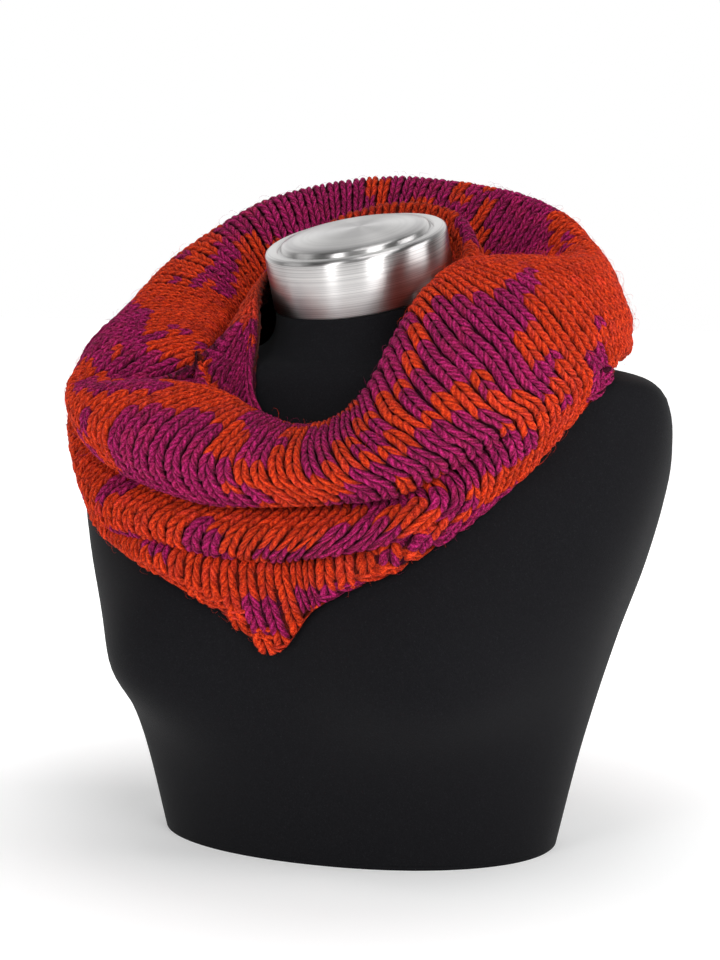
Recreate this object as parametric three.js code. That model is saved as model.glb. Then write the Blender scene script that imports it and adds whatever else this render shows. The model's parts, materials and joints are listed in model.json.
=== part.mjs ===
// Infinity scarf on a tabletop dress form: a bulky knitted tube, slumped in folds round the neck of
// a limbless bust form that has a metal neck cap and stands on its flat underside.
// Millimetres, +Z up. The form faces -Y, and the origin is the middle of its underside.

import * as THREE from "three";

// Driving dimensions
const WALL = 4.6; // knitted cloth
const EDGE = 2; // the cloth at the ends of a stretch, where it thins into a crease or the hem
const SEAM = 0.3; // gap between neighbouring pieces
const REST = 1.1; // least gap between the cloth and the form
const CAP_LEVEL = 382; // middle of the cap's top rim, above the underside
const CAP = { radius: 58, height: 37, tip: new THREE.Vector3(-0.076, -0.254, 0.964) };
const NECK_RADIUS = 56;
const BUST = { turn: 37, spread: 26, level: 120, above: 66, below: 42, depth: 39 };

// The neck cap's turned section: how far in from its radius and how far above its top rim, from the
// rim's bevel over a groove to the raised, slightly domed disc
const CAP_BEVEL = 1; // at its foot
const CAP_SECTION = [
  { inset: 0, up: -3 }, { inset: 2.5, up: 0 }, { inset: 8, up: 0 }, { inset: 8.8, up: -1.4 },
  { inset: 10.2, up: -1.4 }, { inset: 11.4, up: 2.2 }, { inset: 17, up: 3.4 }, { inset: 34, up: 4.6 },
  { inset: CAP.radius, up: 5 },
];
const CAP_FACETS = 44;

// The form's level sections: half width, depth forward and back of its middle, the middle's set-back,
// and the exponent of the outline, 2 for an ellipse and less where the shoulders taper to a ridge
const FORM = [
  { up: 0, side: 130, front: 88, back: 88, middle: 6, square: 2.1 },
  { up: 65, side: 145, front: 104, back: 92, middle: 10, square: 2.2 },
  { up: 132, side: 164, front: 116, back: 96, middle: 16, square: 2.4 },
  { up: 182, side: 181, front: 121, back: 94, middle: 22, square: 2.5 },
  { up: 232, side: 195, front: 110, back: 90, middle: 24, square: 2.3 },
  { up: 264, side: 199, front: 92, back: 88, middle: 20, square: 2.1 },
  { up: 284, side: 197, front: 79, back: 84, middle: 15, square: 2.0 },
  { up: 293, side: 191, front: 72, back: 80, middle: 10, square: 2.0 },
  { up: 299, side: 180, front: 68, back: 76, middle: 8, square: 2.0 },
  { up: 302, side: 170, front: 66, back: 73, middle: 7, square: 1.9 },
  { up: 304, side: 150, front: 65, back: 71, middle: 7, square: 1.8 },
  { up: 306, side: 114, front: 63, back: 69, middle: 7, square: 1.8 },
  { up: 309, side: 89, front: 61, back: 67, middle: 6, square: 1.8 },
  { up: 313, side: 74, front: 60, back: 66, middle: 6, square: 1.9 },
  { up: 320, side: 64, front: 58, back: 63, middle: 6, square: 2.0 },
  { up: 332, side: 58, front: 56, back: 58, middle: 7, square: 2.0 },
];

// The scarf's guide rings. Each row is a direction round the neck (turn, in degrees: 0 is the form's
// front, 90 its left, -90 its right), the distance out from the neck's axis, and the height from the
// cap's level. The cloth's section at any turn passes through them in this order.
const COLLAR = [
  { turn: -170, out: 77, up: 19, lean: 7, hang: 24 },
  { turn: -150, out: 78, up: 11, lean: 7, hang: 24 },
  { turn: -132, out: 76, up: -3, lean: 7, hang: 20 },
  { turn: -114, out: 70, up: -16, lean: 3, hang: -3 },
  { turn: -92, out: 66, up: -28, lean: 2.5, hang: -3.5 },
  { turn: -70, out: 65, up: -36, lean: 2.4, hang: -3.2 },
  { turn: -54, out: 68, up: -46, lean: 2.4, hang: -3.3 },
  { turn: -44, out: 72, up: -60, lean: 2.2, hang: -3.3 },
  { turn: -37, out: 78, up: -78, lean: 2.3, hang: -3.3 },
  { turn: -29, out: 82, up: -98, lean: 3.2, hang: -2.3 },
  { turn: -15, out: 82, up: -113, lean: 4, hang: 0 },
  { turn: 0, out: 82, up: -120, lean: 4, hang: 1.3 },
  { turn: 18, out: 82, up: -117, lean: 3, hang: 3 },
  { turn: 30, out: 80, up: -104, lean: 2, hang: 3.4 },
  { turn: 40, out: 77, up: -80, lean: 2, hang: 3.4 },
  { turn: 50, out: 73, up: -58, lean: 2.4, hang: 3.2 },
  { turn: 64, out: 69, up: -38, lean: 3, hang: 2.6 },
  { turn: 80, out: 69, up: -26, lean: 3.6, hang: 3 },
  { turn: 95, out: 70, up: -17, lean: 5, hang: 10 },
  { turn: 110, out: 72, up: -9, lean: 7, hang: 22 },
  { turn: 125, out: 74, up: 2, lean: 7, hang: 24 },
  { turn: 140, out: 76, up: 12, lean: 7, hang: 24 },
  { turn: 158, out: 77, up: 19, lean: 7, hang: 24 },
  { turn: 175, out: 77, up: 21, lean: 7, hang: 24 },
];
const VALLEY = [
  { turn: -165, out: 97, up: -4 },
  { turn: -148, out: 97, up: -10 },
  { turn: -130, out: 98, up: -24 },
  { turn: -114, out: 96, up: -48 },
  { turn: -98, out: 90, up: -62 },
  { turn: -84, out: 90, up: -67 },
  { turn: -70, out: 91, up: -71 },
  { turn: -56, out: 95, up: -83 },
  { turn: -42, out: 95, up: -97 },
  { turn: -25, out: 92, up: -108 },
  { turn: -12, out: 90, up: -115 },
  { turn: 0, out: 88, up: -118 },
  { turn: 14, out: 88, up: -115 },
  { turn: 22, out: 87, up: -106 },
  { turn: 30, out: 87, up: -93 },
  { turn: 38, out: 85, up: -72 },
  { turn: 50, out: 82, up: -46 },
  { turn: 64, out: 79, up: -29 },
  { turn: 78, out: 79, up: -22 },
  { turn: 92, out: 84, up: -22 },
  { turn: 104, out: 91, up: -28 },
  { turn: 116, out: 97, up: -38 },
  { turn: 130, out: 102, up: -44 },
  { turn: 146, out: 101, up: -32 },
  { turn: 162, out: 98, up: -14 },
  { turn: 178, out: 97, up: -4 },
];
const RIM = [
  { turn: -165, out: 115, up: 10 },
  { turn: -148, out: 115, up: 2 },
  { turn: -134, out: 111, up: -10 },
  { turn: -120, out: 103, up: -31 },
  { turn: -108, out: 96, up: -44 },
  { turn: -95, out: 93, up: -53 },
  { turn: -82, out: 92, up: -58 },
  { turn: -70, out: 93, up: -63 },
  { turn: -56, out: 97, up: -75 },
  { turn: -42, out: 98, up: -88 },
  { turn: -25, out: 96, up: -98 },
  { turn: -12, out: 95, up: -106 },
  { turn: 0, out: 95, up: -111 },
  { turn: 12, out: 95, up: -109 },
  { turn: 22, out: 95, up: -99 },
  { turn: 30, out: 95, up: -82 },
  { turn: 38, out: 95, up: -57 },
  { turn: 50, out: 93, up: -31 },
  { turn: 64, out: 89, up: -17 },
  { turn: 78, out: 89, up: -13 },
  { turn: 95, out: 101, up: -15 },
  { turn: 112, out: 112, up: -26 },
  { turn: 130, out: 122, up: -30 },
  { turn: 148, out: 121, up: -12 },
  { turn: 165, out: 116, up: 8 },
];
const CREST = [
  { turn: -165, out: 141, up: 36 },
  { turn: -150, out: 143, up: 31 },
  { turn: -137, out: 146, up: 22 },
  { turn: -125, out: 150, up: 6 },
  { turn: -110, out: 154, up: -19 },
  { turn: -95, out: 156, up: -43 },
  { turn: -80, out: 156, up: -62 },
  { turn: -65, out: 152, up: -77 },
  { turn: -50, out: 143, up: -89 },
  { turn: -35, out: 131, up: -99 },
  { turn: -20, out: 122, up: -108 },
  { turn: 0, out: 118, up: -117 },
  { turn: 20, out: 120, up: -112 },
  { turn: 35, out: 124, up: -88 },
  { turn: 50, out: 129, up: -56 },
  { turn: 65, out: 136, up: -33 },
  { turn: 80, out: 142, up: -22 },
  { turn: 95, out: 147, up: -17 },
  { turn: 112, out: 151, up: -11 },
  { turn: 125, out: 151, up: -2 },
  { turn: 138, out: 149, up: 12 },
  { turn: 152, out: 147, up: 25 },
  { turn: 167, out: 144, up: 33 },
  { turn: 180, out: 142, up: 37 },
];
const BELLY = [
  { turn: -160, out: 164, up: 14 },
  { turn: -140, out: 169, up: 2 },
  { turn: -120, out: 175, up: -28 },
  { turn: -100, out: 181, up: -62 },
  { turn: -84, out: 182, up: -82 },
  { turn: -68, out: 180, up: -99 },
  { turn: -50, out: 170, up: -112 },
  { turn: -35, out: 156, up: -122 },
  { turn: -20, out: 143, up: -131 },
  { turn: 0, out: 137, up: -136 },
  { turn: 20, out: 140, up: -132 },
  { turn: 38, out: 148, up: -114 },
  { turn: 54, out: 157, up: -92 },
  { turn: 68, out: 165, up: -70 },
  { turn: 84, out: 171, up: -49 },
  { turn: 100, out: 173, up: -45 },
  { turn: 116, out: 175, up: -46 },
  { turn: 130, out: 173, up: -28 },
  { turn: 145, out: 170, up: -4 },
  { turn: 162, out: 166, up: 10 },
  { turn: 180, out: 163, up: 16 },
];

// The two creases: where the fold above meets the fold below, and how far the cloth tucks in there
const UPPER_CREASE = [
  { turn: -150, out: 156, up: -44, tuck: 6 },
  { turn: -120, out: 174, up: -70, tuck: 3 },
  { turn: -105, out: 189, up: -84, tuck: 0 },
  { turn: -92, out: 192, up: -94, tuck: 0 },
  { turn: -80, out: 181, up: -108, tuck: 9 },
  { turn: -68, out: 168, up: -127, tuck: 16 },
  { turn: -53, out: 156, up: -141, tuck: 18 },
  { turn: -42, out: 143, up: -149, tuck: 20 },
  { turn: -30, out: 132, up: -155, tuck: 20 },
  { turn: -18, out: 124, up: -159, tuck: 20 },
  { turn: 0, out: 118, up: -158, tuck: 20 },
  { turn: 18, out: 123, up: -154, tuck: 20 },
  { turn: 33, out: 132, up: -149, tuck: 18 },
  { turn: 44, out: 140, up: -136, tuck: 9 },
  { turn: 54, out: 152, up: -118, tuck: 2 },
  { turn: 63, out: 163, up: -98, tuck: 0 },
  { turn: 76, out: 171, up: -73, tuck: 0 },
  { turn: 84, out: 173, up: -63, tuck: 0 },
  { turn: 92, out: 174, up: -58, tuck: 0 },
  { turn: 112, out: 175, up: -61, tuck: 0 },
  { turn: 132, out: 168, up: -56, tuck: 1 },
  { turn: 155, out: 156, up: -42, tuck: 4 },
  { turn: 180, out: 152, up: -38, tuck: 6 },
];
const LOWER_CREASE = [
  { turn: -150, out: 140, up: -78, tuck: 5 },
  { turn: -120, out: 176, up: -88, tuck: 1 },
  { turn: -105, out: 200, up: -103, tuck: 0 },
  { turn: -92, out: 201, up: -115, tuck: 0 },
  { turn: -80, out: 188, up: -130, tuck: 4 },
  { turn: -68, out: 172, up: -158, tuck: 10 },
  { turn: -56, out: 161, up: -176, tuck: 12 },
  { turn: -46, out: 151, up: -181, tuck: 13 },
  { turn: -38, out: 143, up: -182, tuck: 14 },
  { turn: -29, out: 135, up: -186, tuck: 14 },
  { turn: -19, out: 127, up: -189, tuck: 14 },
  { turn: 0, out: 119, up: -190, tuck: 14 },
  { turn: 18, out: 125, up: -184, tuck: 13 },
  { turn: 28, out: 130, up: -179, tuck: 11 },
  { turn: 37, out: 138, up: -170, tuck: 6 },
  { turn: 47, out: 143, up: -154, tuck: 1 },
  { turn: 57, out: 153, up: -133, tuck: 0 },
  { turn: 66, out: 162, up: -110, tuck: 0 },
  { turn: 76, out: 171, up: -84, tuck: 0 },
  { turn: 84, out: 174, up: -73, tuck: 0 },
  { turn: 92, out: 175, up: -68, tuck: 0 },
  { turn: 112, out: 172, up: -72, tuck: 0 },
  { turn: 132, out: 159, up: -78, tuck: 1 },
  { turn: 155, out: 140, up: -74, tuck: 4 },
  { turn: 180, out: 132, up: -70, tuck: 5 },
];

// The lower edge lies on the form, so it needs only its height: it climbs over both shoulders and
// comes to a point at the centre front
const HEM = [
  { turn: -160, up: -104 },
  { turn: -138, up: -103 },
  { turn: -123, up: -108 },
  { turn: -111, up: -115 },
  { turn: -100, up: -124 },
  { turn: -90, up: -136 },
  { turn: -81, up: -150 },
  { turn: -72, up: -163 },
  { turn: -62, up: -179 },
  { turn: -53, up: -188 },
  { turn: -43, up: -197 },
  { turn: -33, up: -204 },
  { turn: -25, up: -213 },
  { turn: -19, up: -221 },
  { turn: -14, up: -229 },
  { turn: -8, up: -243 },
  { turn: -4, up: -246 },
  { turn: 1, up: -241 },
  { turn: 8, up: -221 },
  { turn: 15, up: -211 },
  { turn: 24, up: -201 },
  { turn: 33, up: -193 },
  { turn: 39, up: -184 },
  { turn: 46, up: -176 },
  { turn: 52, up: -166 },
  { turn: 59, up: -152 },
  { turn: 65, up: -140 },
  { turn: 71, up: -124 },
  { turn: 75, up: -112 },
  { turn: 79, up: -98 },
  { turn: 84, up: -86 },
  { turn: 91, up: -79 },
  { turn: 106, up: -83 },
  { turn: 122, up: -91 },
  { turn: 142, up: -98 },
  { turn: 170, up: -103 },
];

// The tuck at the form's right front: a trough over the roll, given by how far round it lies and how
// deep it is at each guide ring it crosses
const TUCK = { width: 8, rows: [
  { ring: 3, turn: -40, depth: 0 },
  { ring: 4, turn: -46, depth: 10 },
  { ring: 5, turn: -61, depth: 11 },
  { ring: 5.6, turn: -69, depth: 5 },
  { ring: 6, turn: -74, depth: 0 },
] };

// The stretches of cloth between guide rings, and how many bands of facets each has
const STRETCHES = [
  { name: "collar_stretch", from: 0, to: 3, bands: 6 },
  { name: "roll_inner_face", from: 3, to: 5.4, bands: 6 },
  { name: "roll_outer_face", from: 5.4, to: 8, bands: 8 },
  { name: "middle_fold", from: 8, to: 12, bands: 8 },
  { name: "lower_fold", from: 12, to: 15, bands: 7 },
];
const COLUMNS = 72; // facets round the scarf
const CROWDING = 14; // degrees by which the columns crowd towards the front
const FORM_COLUMNS = 48;
const FORM_LEVELS = [0, 30, 65, 100, 132, 158, 182, 206, 232, 250, 266, 280, 291, 298, 302, 304, 306, 309, 313, 320, 331];

// How the section runs beside its guide rings: where the inner ring lies on the way to the foot, how a
// crease's lips stand off its line and its deep point rises, more so the deeper the tuck, and where
// the middle of a fold lies between its creases and how far it bulges
const INNER = { lean: 0.7, hang: 0.4 };
const LIPS = { off: 2.8, aboveTuck: 0.04, belowTuck: 0.09, inwardTuck: 0.15, riseTuck: 0.1 };
const MIDDLE = { share: 0.45, bulge: 0.3, bulgeTuck: 0.45 };
const LOWEST = { share: 0.45, bulge: 0.3, bulgeTuck: 0.2 };

const radians = THREE.MathUtils.degToRad;

// A cubic through the rows of a table, at a value of its key column
function along(rows, key, at, value, period = 0) {
  const count = rows.length;
  const row = (i) => rows[((i % count) + count) % count];
  const place = (i) => row(i)[key] + period * Math.floor(i / count);
  const clamped = (i) => (period ? i : Math.min(count - 1, Math.max(0, i)));
  let next = 0;
  while (next < count && row(next)[key] <= at) next += 1;
  if (!period && next === 0) return rows[0][value];
  if (!period && next === count) return rows[count - 1][value];
  const slope = (i) => {
    const [low, high] = [clamped(i - 1), clamped(i + 1)];
    return (row(high)[value] - row(low)[value]) / (place(high) - place(low));
  };
  const width = place(next) - place(next - 1);
  const t = (at - place(next - 1)) / width;
  const rise = t * t * (3 - 2 * t);
  const leave = t * (1 - t) * (1 - t) * width * slope(next - 1);
  const arrive = t * t * (t - 1) * width * slope(next);
  return row(next - 1)[value] * (1 - rise) + row(next)[value] * rise + leave + arrive;
}

const wrapped = (turn) => ((turn + 540) % 360) - 180;
const around = (rows, turn, value) => along(rows, "turn", wrapped(turn), value, 360);
const bell = (x) => Math.exp(-x * x);

function direction(turn, out, up) {
  return new THREE.Vector3(out * Math.sin(radians(turn)), -out * Math.cos(radians(turn)), up);
}

// How far out the form's surface lies in a direction, at a height above the underside
function formRadius(turn, level) {
  const at = (value) => along(FORM, "up", level, value);
  const [side, front, back, middle, square] = ["side", "front", "back", "middle", "square"].map(at);
  let [inside, outside] = [0, 400];
  for (let halving = 0; halving < 40; halving += 1) {
    const { x, y } = direction(turn, (inside + outside) / 2, 0);
    const depth = y < middle ? front : back;
    const reach = Math.abs(x / side) ** square + Math.abs((y - middle) / depth) ** square;
    if (reach < 1) inside = (inside + outside) / 2;
    else outside = (inside + outside) / 2;
  }
  const off = level - BUST.level;
  const lobes = bell(wrapped(turn - BUST.turn) / BUST.spread) + bell(wrapped(turn + BUST.turn) / BUST.spread);
  return inside + BUST.depth * lobes * bell(off / (off > 0 ? BUST.above : BUST.below));
}

// A place (out, up) moved straight off the form's surface until it has a gap to it
function clearOfForm(turn, place, gap) {
  let { out, up } = place;
  for (let pass = 0; pass < 8; pass += 1) {
    const level = up + CAP_LEVEL;
    const slope = (formRadius(turn, level + 1) - formRadius(turn, level - 1)) / 2;
    const steep = Math.hypot(1, slope);
    const short = gap - (out - formRadius(turn, level)) / steep;
    if (short <= 0) break;
    out += short / steep;
    up -= (short * slope) / steep;
  }
  return { out, up };
}

function placeOf(point) {
  const turn = THREE.MathUtils.radToDeg(Math.atan2(point.x, -point.y));
  return [turn, { out: Math.hypot(point.x, point.y), up: point.z - CAP_LEVEL }];
}

// The cloth's section at a turn: a smooth curve through the guide rings, in order from the hidden
// end at the neck, over the collar and the roll, and down through both creases to the hem
function section(turn) {
  const at = (rows, value) => around(rows, turn, value);
  const onRing = (rows) => ({ out: at(rows, "out"), up: at(rows, "up") });
  const clear = (place, gap) => clearOfForm(turn, place, gap);
  const collar = onRing(COLLAR);
  const [lean, hang] = [at(COLLAR, "lean"), at(COLLAR, "hang")];
  const foot = clear({ out: collar.out - lean, up: collar.up - hang }, REST);
  const inner = clear({ out: collar.out - INNER.lean * lean, up: collar.up - INNER.hang * hang }, REST);
  const crease = (line, tuck, above, below) => {
    const [run, drop] = [below.out - above.out, below.up - above.up];
    const beyond = (length, inward) => ({
      out: line.out + (run * length) / Math.hypot(run, drop) - inward,
      up: line.up + (drop * length) / Math.hypot(run, drop),
    });
    const upperLip = beyond(-LIPS.off - LIPS.aboveTuck * tuck, 0);
    const deep = { out: line.out - tuck, up: line.up + LIPS.riseTuck * tuck };
    const lowerLip = beyond(LIPS.off + LIPS.belowTuck * tuck, LIPS.inwardTuck * tuck);
    return [upperLip, deep, lowerLip];
  };
  const between = (a, b, tuck, { share, bulge, bulgeTuck }) => ({
    out: a.out + (b.out - a.out) * share + bulge + bulgeTuck * tuck,
    up: a.up + (b.up - a.up) * share,
  });
  const belly = onRing(BELLY);
  const [upperLine, lowerLine] = [onRing(UPPER_CREASE), onRing(LOWER_CREASE)];
  const [upperTuck, lowerTuck] = [at(UPPER_CREASE, "tuck"), at(LOWER_CREASE, "tuck")];
  const hemUp = at(HEM, "up");
  const hem = { out: formRadius(turn, hemUp + CAP_LEVEL), up: hemUp };
  const upper = crease(upperLine, upperTuck, belly, lowerLine);
  const lower = crease(lowerLine, lowerTuck, upperLine, clear(hem, EDGE + REST));
  const middle = between(upper[2], lower[0], upperTuck, MIDDLE);
  const lowest = between(lower[2], clear(hem, EDGE + REST), lowerTuck, LOWEST);
  const cloth = [onRing(VALLEY), onRing(RIM), onRing(CREST), belly, ...upper, middle, ...lower, lowest];
  const offForm = cloth.map((place) => clear(place, WALL + REST));
  const points = [foot, inner, clear(collar, REST), ...offForm, clear(hem, EDGE + REST)];
  return new THREE.CatmullRomCurve3(points.map(({ out, up }) => new THREE.Vector3(out, 0, up)), false, "centripetal");
}

// A point of the cloth's outside, at a turn and a place along its section counted in guide rings
const LAST_RING = 15;
function onSection(curve, turn, ring) {
  const { x: out, z: up } = curve.getPoint(Math.min(1, Math.max(0, ring / LAST_RING)));
  return direction(turn, out, up + CAP_LEVEL);
}

const STEP = { turn: 0.4, ring: 0.02 };

// The cloth's outside and inside points at one turn, for places along the section
function wallPoints(turn, rings) {
  const [before, here, after] = [turn - STEP.turn, turn, turn + STEP.turn].map(section);
  return rings.map((ring, i) => {
    const round = onSection(after, turn + STEP.turn, ring).sub(onSection(before, turn - STEP.turn, ring));
    const down = onSection(here, turn, ring + STEP.ring).sub(onSection(here, turn, ring - STEP.ring));
    const outward = down.cross(round).normalize();
    const [first, last] = [TUCK.rows[0].ring, TUCK.rows[TUCK.rows.length - 1].ring];
    const outside = onSection(here, turn, ring);
    if (ring > first && ring < last) {
      const off = wrapped(turn - along(TUCK.rows, "ring", ring, "turn")) / TUCK.width;
      outside.addScaledVector(outward, -along(TUCK.rows, "ring", ring, "depth") * bell(off));
    }
    const thick = i === 0 || i === rings.length - 1 ? EDGE : WALL;
    const inside = outside.clone().addScaledVector(outward, -thick);
    const [nearTurn, near] = placeOf(inside);
    const kept = clearOfForm(nearTurn, near, REST);
    const lift = direction(nearTurn, kept.out - near.out, kept.up - near.up);
    return { outside: outside.add(lift), inside: inside.add(lift) };
  });
}

const SAMPLES = 20; // between guide rings, to measure a section's length

// Places along a section from one ring to another, evenly spaced, a half seam short of either end
function evenRings(turn, from, to, bands) {
  const curve = section(turn);
  const fine = Math.round(SAMPLES * (to - from));
  const places = Array.from({ length: fine + 1 }, (_, i) => from + ((to - from) * i) / fine);
  const points = places.map((ring) => onSection(curve, turn, ring));
  const lengths = [0];
  for (let i = 1; i <= fine; i += 1) lengths.push(lengths[i - 1] + points[i].distanceTo(points[i - 1]));
  const total = lengths[fine];
  return Array.from({ length: bands + 1 }, (_, band) => {
    const wanted = SEAM / 2 + ((total - SEAM) * band) / bands;
    const next = Math.max(1, lengths.findIndex((length) => length >= wanted));
    const share = (wanted - lengths[next - 1]) / (lengths[next] - lengths[next - 1]);
    return places[next - 1] + (places[next] - places[next - 1]) * share;
  });
}

// A closed mesh from loops of points that follow one another and join up at the end. The last strip is
// split along its other diagonal, so that the ends of two stretches that face each other match.
function ringMesh(loops) {
  const count = loops.length;
  const size = loops[0].length;
  const faces = [];
  for (let i = 0; i < count; i += 1) {
    for (let j = 0; j < size; j += 1) {
      const [a, b] = [i * size + j, i * size + ((j + 1) % size)];
      const [c, d] = [((i + 1) % count) * size + ((j + 1) % size), ((i + 1) % count) * size + j];
      if (j === size - 1) faces.push(a, b, d, b, c, d);
      else faces.push(a, b, c, a, c, d);
    }
  }
  const geometry = new THREE.BufferGeometry().setFromPoints(loops.flat());
  geometry.setIndex(faces);
  return geometry;
}

const yarn = (colour) => new THREE.MeshStandardMaterial({ color: colour, roughness: 0.95, metalness: 0 });

// One stretch of the scarf: a wall whose loops go down its outside and back up its inside
function scarfStretch({ name, from, to, bands }, colour) {
  const loops = [];
  for (let i = 0; i < COLUMNS; i += 1) {
    const turn = (360 * i) / COLUMNS - CROWDING * Math.sin((2 * Math.PI * i) / COLUMNS);
    const points = wallPoints(turn, evenRings(turn, from, to, bands));
    loops.push([...points.map((p) => p.outside), ...points.map((p) => p.inside).reverse()]);
  }
  const mesh = new THREE.Mesh(ringMesh(loops), yarn(colour));
  mesh.name = name;
  return mesh;
}

const capAxis = CAP.tip.clone().normalize();
const capFoot = new THREE.Vector3(0, 0, CAP_LEVEL).addScaledVector(capAxis, -CAP.height);

// A point on the tilted flat top of the neck, which the cap sits on
function neckTop(turn, out) {
  const point = direction(turn, out, 0).add(capFoot).addScaledVector(capAxis, -SEAM);
  point.z = capFoot.z - SEAM - (capAxis.x * (point.x - capFoot.x) + capAxis.y * (point.y - capFoot.y)) / capAxis.z;
  return point;
}

// The fabric-covered bust: level loops from the flat underside up to the tilted top of the neck
function torso() {
  const turns = Array.from({ length: FORM_COLUMNS }, (_, i) => (360 * i) / FORM_COLUMNS);
  const loops = FORM_LEVELS.map((level) => turns.map((turn) => direction(turn, formRadius(turn, level), level)));
  loops.push(turns.map((turn) => neckTop(turn, NECK_RADIUS)));
  const points = loops.flat();
  const [bottom, top] = [points.length, points.length + 1];
  points.push(new THREE.Vector3(0, 0, 0), neckTop(0, 0));
  const faces = [];
  const lastLoop = (loops.length - 1) * FORM_COLUMNS;
  for (let i = 0; i < FORM_COLUMNS; i += 1) {
    const next = (i + 1) % FORM_COLUMNS;
    faces.push(bottom, next, i, top, lastLoop + i, lastLoop + next);
    for (let start = 0; start < lastLoop; start += FORM_COLUMNS) {
      const above = start + FORM_COLUMNS;
      faces.push(start + i, start + next, above + next, start + i, above + next, above + i);
    }
  }
  const geometry = new THREE.BufferGeometry().setFromPoints(points);
  geometry.setIndex(faces);
  const fabric = new THREE.MeshStandardMaterial({ color: 0x16161a, roughness: 0.9, metalness: 0 });
  const mesh = new THREE.Mesh(geometry, fabric);
  mesh.name = "form_torso";
  return mesh;
}

// The neck cap: a turned metal drum with a bevelled rim, a groove and a raised, slightly domed disc
function neckCap() {
  const { radius, height } = CAP;
  const foot = [[0, 0], [radius - CAP_BEVEL, 0], [radius, CAP_BEVEL]];
  const outline = [...foot, ...CAP_SECTION.map(({ inset, up }) => [radius - inset, height + up])];
  const geometry = new THREE.LatheGeometry(outline.map(([out, up]) => new THREE.Vector2(out, up)), CAP_FACETS);
  geometry.rotateX(Math.PI / 2);
  const metal = new THREE.MeshStandardMaterial({ color: 0xc4c4c2, roughness: 0.32, metalness: 1 });
  const mesh = new THREE.Mesh(geometry, metal);
  mesh.name = "neck_cap";
  mesh.quaternion.setFromUnitVectors(new THREE.Vector3(0, 0, 1), capAxis);
  mesh.position.copy(capFoot);
  return mesh;
}

const scarfOnForm = new THREE.Group();
const COLOURS = {
  collar_stretch: 0x7d2a52,
  roll_inner_face: 0xa83338,
  roll_outer_face: 0xb33a30,
  middle_fold: 0xc8451f,
  lower_fold: 0xd5401c,
};
STRETCHES.forEach((stretch) => scarfOnForm.add(scarfStretch(stretch, COLOURS[stretch.name])));
scarfOnForm.add(torso(), neckCap());

export default scarfOnForm;
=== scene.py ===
# %% [markdown]
# # An infinity scarf on a dress form
#
# A bulky scarf, knitted as one tube in orange and purple yarn, lies in folds round the neck of a
# fabric-covered dress form with a metal neck cap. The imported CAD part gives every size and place.
# Here each of its plain solids gets its real surface: a knit made of yarn, a stretched cover,
# brushed metal. Blender works in metres and the tables below in millimetres, as the CAD does.

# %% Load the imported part
import json
import math

import bmesh
import bpy
import numpy as np
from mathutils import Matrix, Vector

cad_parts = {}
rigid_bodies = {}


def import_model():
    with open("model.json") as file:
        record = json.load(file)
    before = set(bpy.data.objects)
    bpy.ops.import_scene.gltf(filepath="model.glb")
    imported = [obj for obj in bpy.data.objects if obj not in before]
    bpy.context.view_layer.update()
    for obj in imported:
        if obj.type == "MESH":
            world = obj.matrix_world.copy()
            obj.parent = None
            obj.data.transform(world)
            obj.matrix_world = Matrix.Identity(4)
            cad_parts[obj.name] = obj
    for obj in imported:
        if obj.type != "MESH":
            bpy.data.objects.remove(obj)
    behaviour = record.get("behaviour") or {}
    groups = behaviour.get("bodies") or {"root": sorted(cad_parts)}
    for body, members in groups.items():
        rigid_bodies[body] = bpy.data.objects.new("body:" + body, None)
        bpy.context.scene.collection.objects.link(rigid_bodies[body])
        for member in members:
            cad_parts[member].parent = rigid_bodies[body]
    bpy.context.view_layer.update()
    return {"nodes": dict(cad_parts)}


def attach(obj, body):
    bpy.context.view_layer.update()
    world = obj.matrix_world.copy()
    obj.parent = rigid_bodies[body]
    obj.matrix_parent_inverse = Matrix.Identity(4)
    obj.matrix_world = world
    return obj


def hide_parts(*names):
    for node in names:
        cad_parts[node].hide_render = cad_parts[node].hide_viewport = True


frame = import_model()
MM = 0.001
chance = np.random.default_rng(7)
print("CAD nodes:", sorted(frame["nodes"]))

# %% [markdown]
# ## The camera
#
# The picture was taken from the form's left front, a little above its neck. The camera stands at that
# angle, 1.5 m off, with a lens long enough to fill the frame as the picture does.

# %% Camera
VIEW_TURN, VIEW_DROP = math.radians(22), math.radians(6.6)
VIEW_AWAY, VIEW_ASIDE, VIEW_UP = 1.5, 0.00315, 0.402
camera_data = bpy.data.cameras.new("camera")
camera_data.sensor_width, camera_data.lens = 36, 89.3
camera = bpy.data.objects.new("camera", camera_data)
across = Vector((math.cos(VIEW_TURN), math.sin(VIEW_TURN), 0))
towards = Vector((math.sin(VIEW_TURN), -math.cos(VIEW_TURN), 0))
camera.location = VIEW_AWAY * towards + VIEW_ASIDE * across + Vector((0, 0, VIEW_UP))
camera.rotation_euler = (math.radians(90) - VIEW_DROP, 0, VIEW_TURN)
bpy.context.scene.collection.objects.link(camera)
bpy.context.scene.camera = camera
print("camera at", [round(v, 3) for v in camera.location])

# %% [markdown]
# ## The form's shape
#
# A dress form is a padded shell, and level sections describe it best: at each height a half width, how
# far it reaches forward and back of its middle, and how square its outline is. Two soft lobes make the
# bust. The same table shapes the form and keeps the scarf off it.

# %% Tables with named columns
def table(names, rows):
    columns = np.array(rows, float).T
    return dict(zip(names.split(), columns))


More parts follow.
